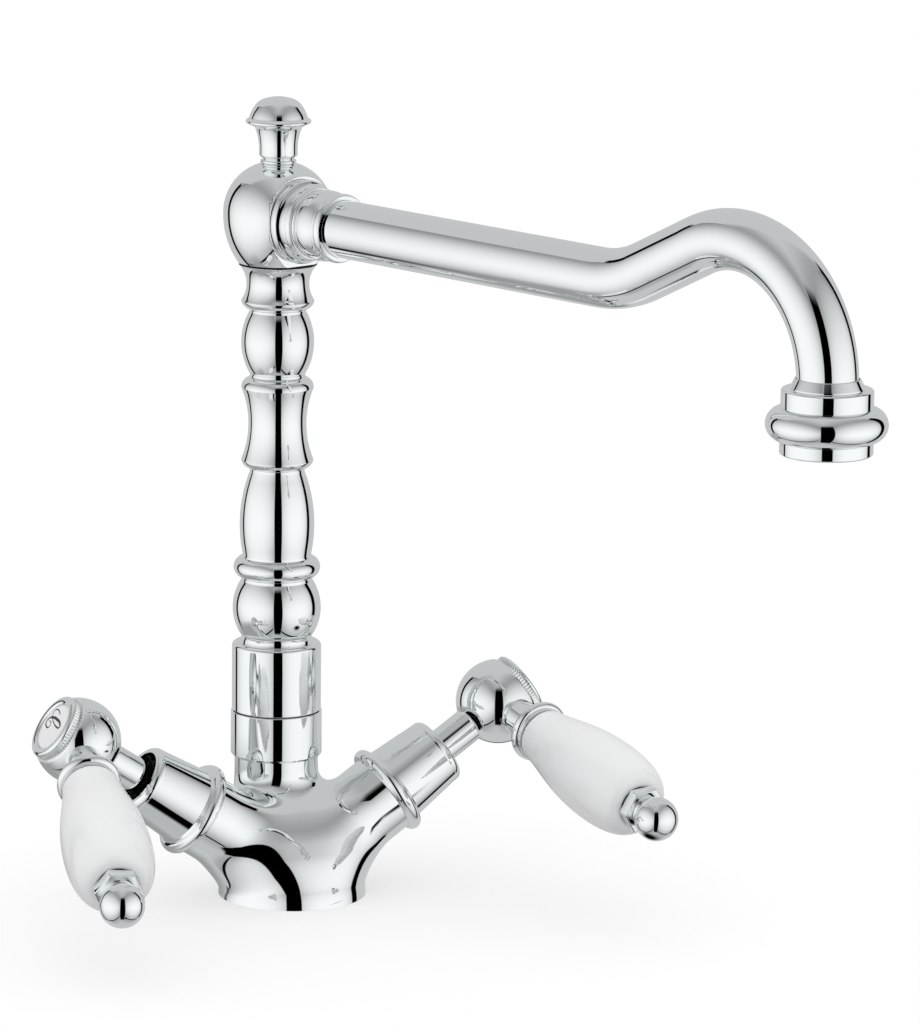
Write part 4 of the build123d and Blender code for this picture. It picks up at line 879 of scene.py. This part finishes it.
def bent_tube():
    """Drawn along its route in the spout's own frame, where X is up and Z runs forward."""
    work = bmesh.new()
    inner_end = Matrix.Translation((0, 0, TUBE_INSERT))
    bmesh.ops.create_circle(work, segments=FINE_ROUND, radius=TUBE_R, matrix=inner_end)
    loop = work.edges[:]

    def push(edges, way, pieces):
        for _ in range(pieces):
            made = bmesh.ops.extrude_edge_only(work, edges=edges)["geom"]
            verts = [item for item in made if isinstance(item, bmesh.types.BMVert)]
            bmesh.ops.translate(work, verts=verts, vec=way / pieces)
            edges = [item for item in made if isinstance(item, bmesh.types.BMEdge)
                     and all(vert in verts for vert in item.verts)]
        return edges

    def bend(edges, centre, angle, steps):
        verts = list({vert for edge in edges for vert in edge.verts})
        last = bmesh.ops.spin(
            work, geom=verts + edges, cent=centre, axis=(0, 1, 0), angle=angle, steps=steps,
        )["geom_last"]
        return [item for item in last if isinstance(item, bmesh.types.BMEdge)]

    straight, dip, rise, bow, end = TUBE_PIECES
    loop = push(loop, Vector((0, 0, TUBE_STRAIGHT - TUBE_INSERT)), straight)
    loop = bend(loop, (DIP_RADIUS, 0, TUBE_STRAIGHT), DIP_ANGLE, dip)
    dip_end = Vector((
        DIP_RADIUS * (1 - cos(DIP_ANGLE)), 0, TUBE_STRAIGHT + DIP_RADIUS * sin(DIP_ANGLE),
    ))
    up = Vector((sin(DIP_ANGLE), 0, cos(DIP_ANGLE)))
    loop = push(loop, up * RISE, rise)
    crest = dip_end + up * RISE + Vector((-cos(DIP_ANGLE), 0, sin(DIP_ANGLE))) * CREST_RADIUS
    loop = bend(loop, crest, -(pi / 2 + DIP_ANGLE), bow)
    push(loop, Vector((OUTLET_END - (SPOUT_Z + crest.x), 0, 0)), end)
    bmesh.ops.holes_fill(work, edges=work.edges)
    bmesh.ops.recalc_face_normals(work, faces=work.faces)
    return work, crest


tube, crest = bent_tube()
add_chrome("bent_spout", tube, on_spout, "spout", "spout_tube")


# ---------------------------------------------------------------------------
# Outlet: a turned collar with a heavy round bead on the tube's end, and the aerator housing
# screwed up into it.

REACH = crest.z + CREST_RADIUS
OUTLET_LOW = SPOUT_Z + crest.x - 16.1
HOUSING_H = 3.9
# outline steps of the collar, its heights counted from its foot: mouth, neck, bead, then the
# bores for housing and tube
OUTLET_SIDE = (
    (9.15, 18.2), (9.45, 18.2), (10.8, 15.5), (10.8, 15.1),
    (12.95, 15.1), (13.35, 14.7), (13.35, 9.7), (12.8, 9.8),
    (17.7, 4.9, 12.8, 0),
    (11.0, 0), (11.0, 6.6), (7.8, 6.6), (7.8, 7.6), (9.05, 7.6),
)
# the same for the housing: its lip, then the part that screws into the collar
HOUSING_SIDE = (
    (8.6, 0), (13.1, 0), (13.5, 0.4), (13.5, HOUSING_H),
    (10.95, HOUSING_H), (10.95, 9.5), (9.4, 9.5), (9.4, 1.5), (8.6, 1.5),
)

on_outlet = stand(column_foot + spout_axis * REACH)
collar = turned(*raised(OUTLET_SIDE, OUTLET_LOW))
add_chrome("outlet_ring", collar, on_outlet, "spout", "outlet_collar")
housing = turned(*raised(HOUSING_SIDE, OUTLET_LOW - HOUSING_H))
add_chrome("aerator_cup", housing, on_outlet, "spout", "aerator_housing")


# ---------------------------------------------------------------------------
# The photographer's table and light tent. The table is plain white under even light. Polished
# chrome shows only what stands round it: two lit cloth walls with the dark gap for the camera
# between them, dark slits behind them, and grey cloth at the back and overhead.

CAMERA_AZIMUTH = radians(-22.7)
BLACK = (0, 0, 0, 1)
TABLE_R, TABLE_COLOUR = 2.6, (0.6, 0.6, 0.6, 1)
TABLE_GLOW, TABLE_GRAIN = 0.42, 0.01
TENT_R, TENT_MIDDLE = 1.5, 0.13
# the shade round the foot: its glow, where it fades out, and the front side that it leaves open
SHADE_R, SHADE_GLOW, SHADE_FADE = 0.26, 0.36, (0.13, 0.234)
SHADE_FRONT, SHADE_SOFT = (-75, 150), 14
# painted dark spots on the table under the cold lever's end and behind its hub, for painted
# dark reflections in that lever's ball end and hub: towards the camera, to its right, radius;
# SPOT_CORE is the share of the radius that is wholly dark
PAINTED_DARK_SPOTS = ((0.045, 0.1, 0.034), (-0.105, 0.07, 0.04))
SPOT_CORE = 0.25
CLOTH_GREY, CLOTH_SHADE = 0.60, 0.36
BACK_MIDDLE, BACK_START = 5, (100, 118)
# each wall: the way it faces from the middle and half its width, in degrees from the camera
WALLS = ((-66, 58), (60, 46))
# heights on the cloth are rise over distance: a wall's top and foot, and from where it dims
WALL_TOP, WALL_LOW, WALL_DIM_UP, WALL_DIM_DOWN = 1.42, -1.55, -0.2, -0.1
WALL_GLOW, WALL_FALL, WALL_SIDE_FALL = 1.06, 0.12, 0.28
WALL_TOP_SHARE, WALL_LOW_SHARE = 0.36, 0.5
WALL_SIDE, WALL_TOP_SOFT, WALL_LOW_SOFT = 0.985, 0.03, 0.05
# the dark hem under each wall
HEM_LOW, HEM_TOP, HEM_SOFT, HEM_SIDE = WALL_LOW - 0.24, WALL_LOW - 0.02, 0.03, 0.9
# each slit: from and to, in degrees, and its top
SLITS = ((-131, -122, 0.65), (107, 120, 0.9))
SLIT_LOW, SLIT_SOFT, SLIT_END_SOFT = -1.0, 0.5, 0.05
GAP, GAP_SOFT, GAP_TOP, GAP_LOW = (-8, 15.5), 0.6, (0.74, 1.24), (-1.9, -1.4)
# keeps a division away from zero
LEAST = 0.05


def stage_piece(name, work):
    """Adds a piece of the photographer's set, which is no part of the faucet."""
    mesh = bpy.data.meshes.new(name)
    work.to_mesh(mesh)
    work.free()
    piece = bpy.data.objects.new(name, mesh)
    bpy.context.scene.collection.objects.link(piece)
    return piece


def glowing_cloth(name, colour):
    """A matt material whose own glow is wired to its Emission Color."""
    return new_material(
        name, Base_Color=colour, Roughness=1.0, Specular_IOR_Level=0.0, Emission_Strength=1.0,
    )


def white_table():
    """The table top, which glows a little for the camera and for what the chrome mirrors."""
    work = bmesh.new()
    bmesh.ops.create_circle(work, cap_ends=True, segments=FINE_ROUND, radius=TABLE_R)
    table = stage_piece("white_table", work)
    material, shader, start = glowing_cloth("white_table_top", TABLE_COLOUR)
    camera_ray, mirror_ray, glass_ray = (
        start.node("ShaderNodeLightPath", output=ray)
        for ray in ("Is Camera Ray", "Is Glossy Ray", "Is Transmission Ray")
    )
    seen = (camera_ray + mirror_ray + glass_ray).at_most(1.0)
    grain = noise(start, scale=9.0, detail=2.0)
    wire(seen * (TABLE_GLOW + grain * TABLE_GRAIN), shader, "Emission Color")
    table.data.materials.append(material)
    table.visible_glossy = False


def from_camera(x, y):
    """Level directions as the camera has them: towards it and to its right."""
    towards = x * sin(CAMERA_AZIMUTH) - y * cos(CAMERA_AZIMUTH)
    return towards, x * cos(CAMERA_AZIMUTH) + y * sin(CAMERA_AZIMUTH)


def level_length(ahead, aside):
    return ahead.math("SQRT", ahead * ahead + aside * aside)


def degrees_aside(ahead, aside):
    return ahead.math("ARCTAN2", aside, ahead) * (180 / pi)


def table_in_shade():
    """A sheet that only the chrome sees: painted shade of the table close by the faucet, with the
    painted dark spots.
    """
    work = bmesh.new()
    bmesh.ops.create_circle(work, cap_ends=True, segments=COARSE_ROUND, radius=SHADE_R)
    shade = stage_piece("table_shade", work)
    shade.visible_camera = shade.visible_diffuse = shade.visible_shadow = False
    material, shader, start = glowing_cloth("table_in_shade", BLACK)
    place = start.node("ShaderNodeTexCoord", output="Object")
    x, y = (start.node("ShaderNodeSeparateXYZ", {0: place}, output=i) for i in range(2))
    towards, sideways = from_camera(x, y)
    open_side = degrees_aside(towards, sideways).band(*SHADE_FRONT, SHADE_SOFT)
    shaded = (1 - open_side) * level_length(towards, sideways).ramp(*SHADE_FADE, 1.0, 0.0)
    # Painted dark spots, which the chrome mirrors as painted dark reflections.
    dark = 0.0
    for ahead, aside, spot_r in PAINTED_DARK_SPOTS:
        distance = level_length(towards - ahead, sideways - aside)
        dark = distance.ramp(SPOT_CORE * spot_r, spot_r, 1.0, 0.0).at_least(dark)
    # Painted shade: the sheet is opaque where the table is taken to be shaded and open elsewhere.
    wire(shaded.at_least(dark), shader, "Alpha")
    wire(SHADE_GLOW * (1 - dark), shader, "Emission Color")
    shade.data.materials.append(material)


def tent_cloth():
    """Glow of the cloth round the faucet, by its direction from the tent's middle."""
    material, shader, start = glowing_cloth("tent_cloth", BLACK)
    place = start.node("ShaderNodeTexCoord", output="Object")
    way = start.node("ShaderNodeVectorMath", {0: place}, operation="NORMALIZE")
    x, y, z = (start.node("ShaderNodeSeparateXYZ", {0: way}, output=i) for i in range(3))
    towards, sideways = from_camera(x, y)
    azimuth = degrees_aside(towards, sideways)
    slope = z / level_length(towards, sideways).at_least(LEAST)
    ahead_of = {
        facing: towards * cos(radians(facing)) + sideways * sin(radians(facing))
        for facing, _ in WALLS
    }
    near_wall = 0.0
    for ahead in ahead_of.values():
        near_wall = (ahead / abs(z).at_least(LEAST)).ramp(0.0, 1 / WALL_TOP).at_least(near_wall)
    behind = abs(azimuth - BACK_MIDDLE).ramp(*BACK_START)
    glow = CLOTH_GREY - near_wall * (1 - behind) * (CLOTH_GREY - CLOTH_SHADE)
    for facing, half in WALLS:
        rise = z / ahead_of[facing].at_least(LEAST)
        across = (azimuth - facing) * (1 / half)
        square = across * across
        lit = WALL_GLOW - square * WALL_FALL - square * square * WALL_SIDE_FALL
        lit = lit * rise.ramp(WALL_DIM_UP, WALL_TOP, 1.0, WALL_TOP_SHARE)
        lit = lit * rise.ramp(WALL_LOW, WALL_DIM_DOWN, WALL_LOW_SHARE, 1.0)
        wall = abs(across).ramp(WALL_SIDE, 1.0, 1.0, 0.0)
        wall = wall * rise.ramp(WALL_TOP - WALL_TOP_SOFT, WALL_TOP + WALL_TOP_SOFT, 1.0, 0.0)
        wall = wall * rise.ramp(WALL_LOW - WALL_LOW_SOFT, WALL_LOW + WALL_LOW_SOFT)
        glow = glow + wall * (lit - glow)
        hem = rise.band(HEM_LOW, HEM_TOP, HEM_SOFT) * abs(across).ramp(HEM_SIDE, 1.0, 1.0, 0.0)
        glow = glow * (1 - hem)
    for low, high, top in SLITS:
        slit = azimuth.band(low, high, SLIT_SOFT) * slope.band(SLIT_LOW, top, SLIT_END_SOFT)
        glow = glow * (1 - slit)
    gap = azimuth.band(*GAP, GAP_SOFT) * slope.ramp(*GAP_TOP, 1.0, 0.0) * slope.ramp(*GAP_LOW)
    wire(glow * (1 - gap), shader, "Emission Color")
    return material


def light_tent():
    """A ball of cloth that only the chrome sees."""
    work = bmesh.new()
    bmesh.ops.create_icosphere(work, subdivisions=5, radius=TENT_R)
    tent = stage_piece("light_tent", work)
    tent.location.z = TENT_MIDDLE
    tent.visible_camera = tent.visible_diffuse = tent.visible_shadow = False
    cloth = tent_cloth()
    cloth.cycles.emission_sampling = "NONE"
    tent.data.materials.append(cloth)


white_table()
table_in_shade()
light_tent()

world = bpy.data.worlds.new("even_light")
bpy.context.scene.world = world
world.use_nodes = True
world.node_tree.nodes["Background"].inputs["Color"].default_value = (1, 1, 1, 1)


# ---------------------------------------------------------------------------
# Camera: a long lens from the front left, a little above the faucet, as in the catalogue. The
# distance and angles are those that were fitted to the photograph.

CAMERA_DISTANCE, CAMERA_HEIGHT = 1854.0, 506.0
CAMERA_PITCH, CAMERA_ROLL, CAMERA_YAW = radians(11.67), radians(0.57), radians(-1.61)
SENSOR = 36.0
FOCAL_PIXELS, PHOTO_WIDTH = 6017.5, 920
FAR_CLIP = 100

view_azimuth = CAMERA_AZIMUTH + CAMERA_YAW
look = Vector((
    -sin(view_azimuth) * cos(CAMERA_PITCH), cos(view_azimuth) * cos(CAMERA_PITCH),
    -sin(CAMERA_PITCH),
))
right = look.cross(Vector((0, 0, 1))).normalized()
up = right.cross(look)
right, up = (
    right * cos(CAMERA_ROLL) + up * sin(CAMERA_ROLL),
    up * cos(CAMERA_ROLL) - right * sin(CAMERA_ROLL),
)
lens = bpy.data.cameras.new("catalogue_camera")
lens.sensor_fit = "HORIZONTAL"
lens.sensor_width = SENSOR
lens.lens = FOCAL_PIXELS / PHOTO_WIDTH * SENSOR
lens.clip_end = FAR_CLIP
camera = bpy.data.objects.new("catalogue_camera", lens)
bpy.context.scene.collection.objects.link(camera)
stand_at = Vector((sin(CAMERA_AZIMUTH), -cos(CAMERA_AZIMUTH), 0)) * CAMERA_DISTANCE
stand_at.z = CAMERA_HEIGHT
turn = Matrix((right, up, -look)).transposed().to_4x4()
camera.matrix_world = Matrix.Translation(stand_at * MM) @ turn
bpy.context.scene.camera = camera
bpy.context.scene.view_settings.view_transform = "Standard"
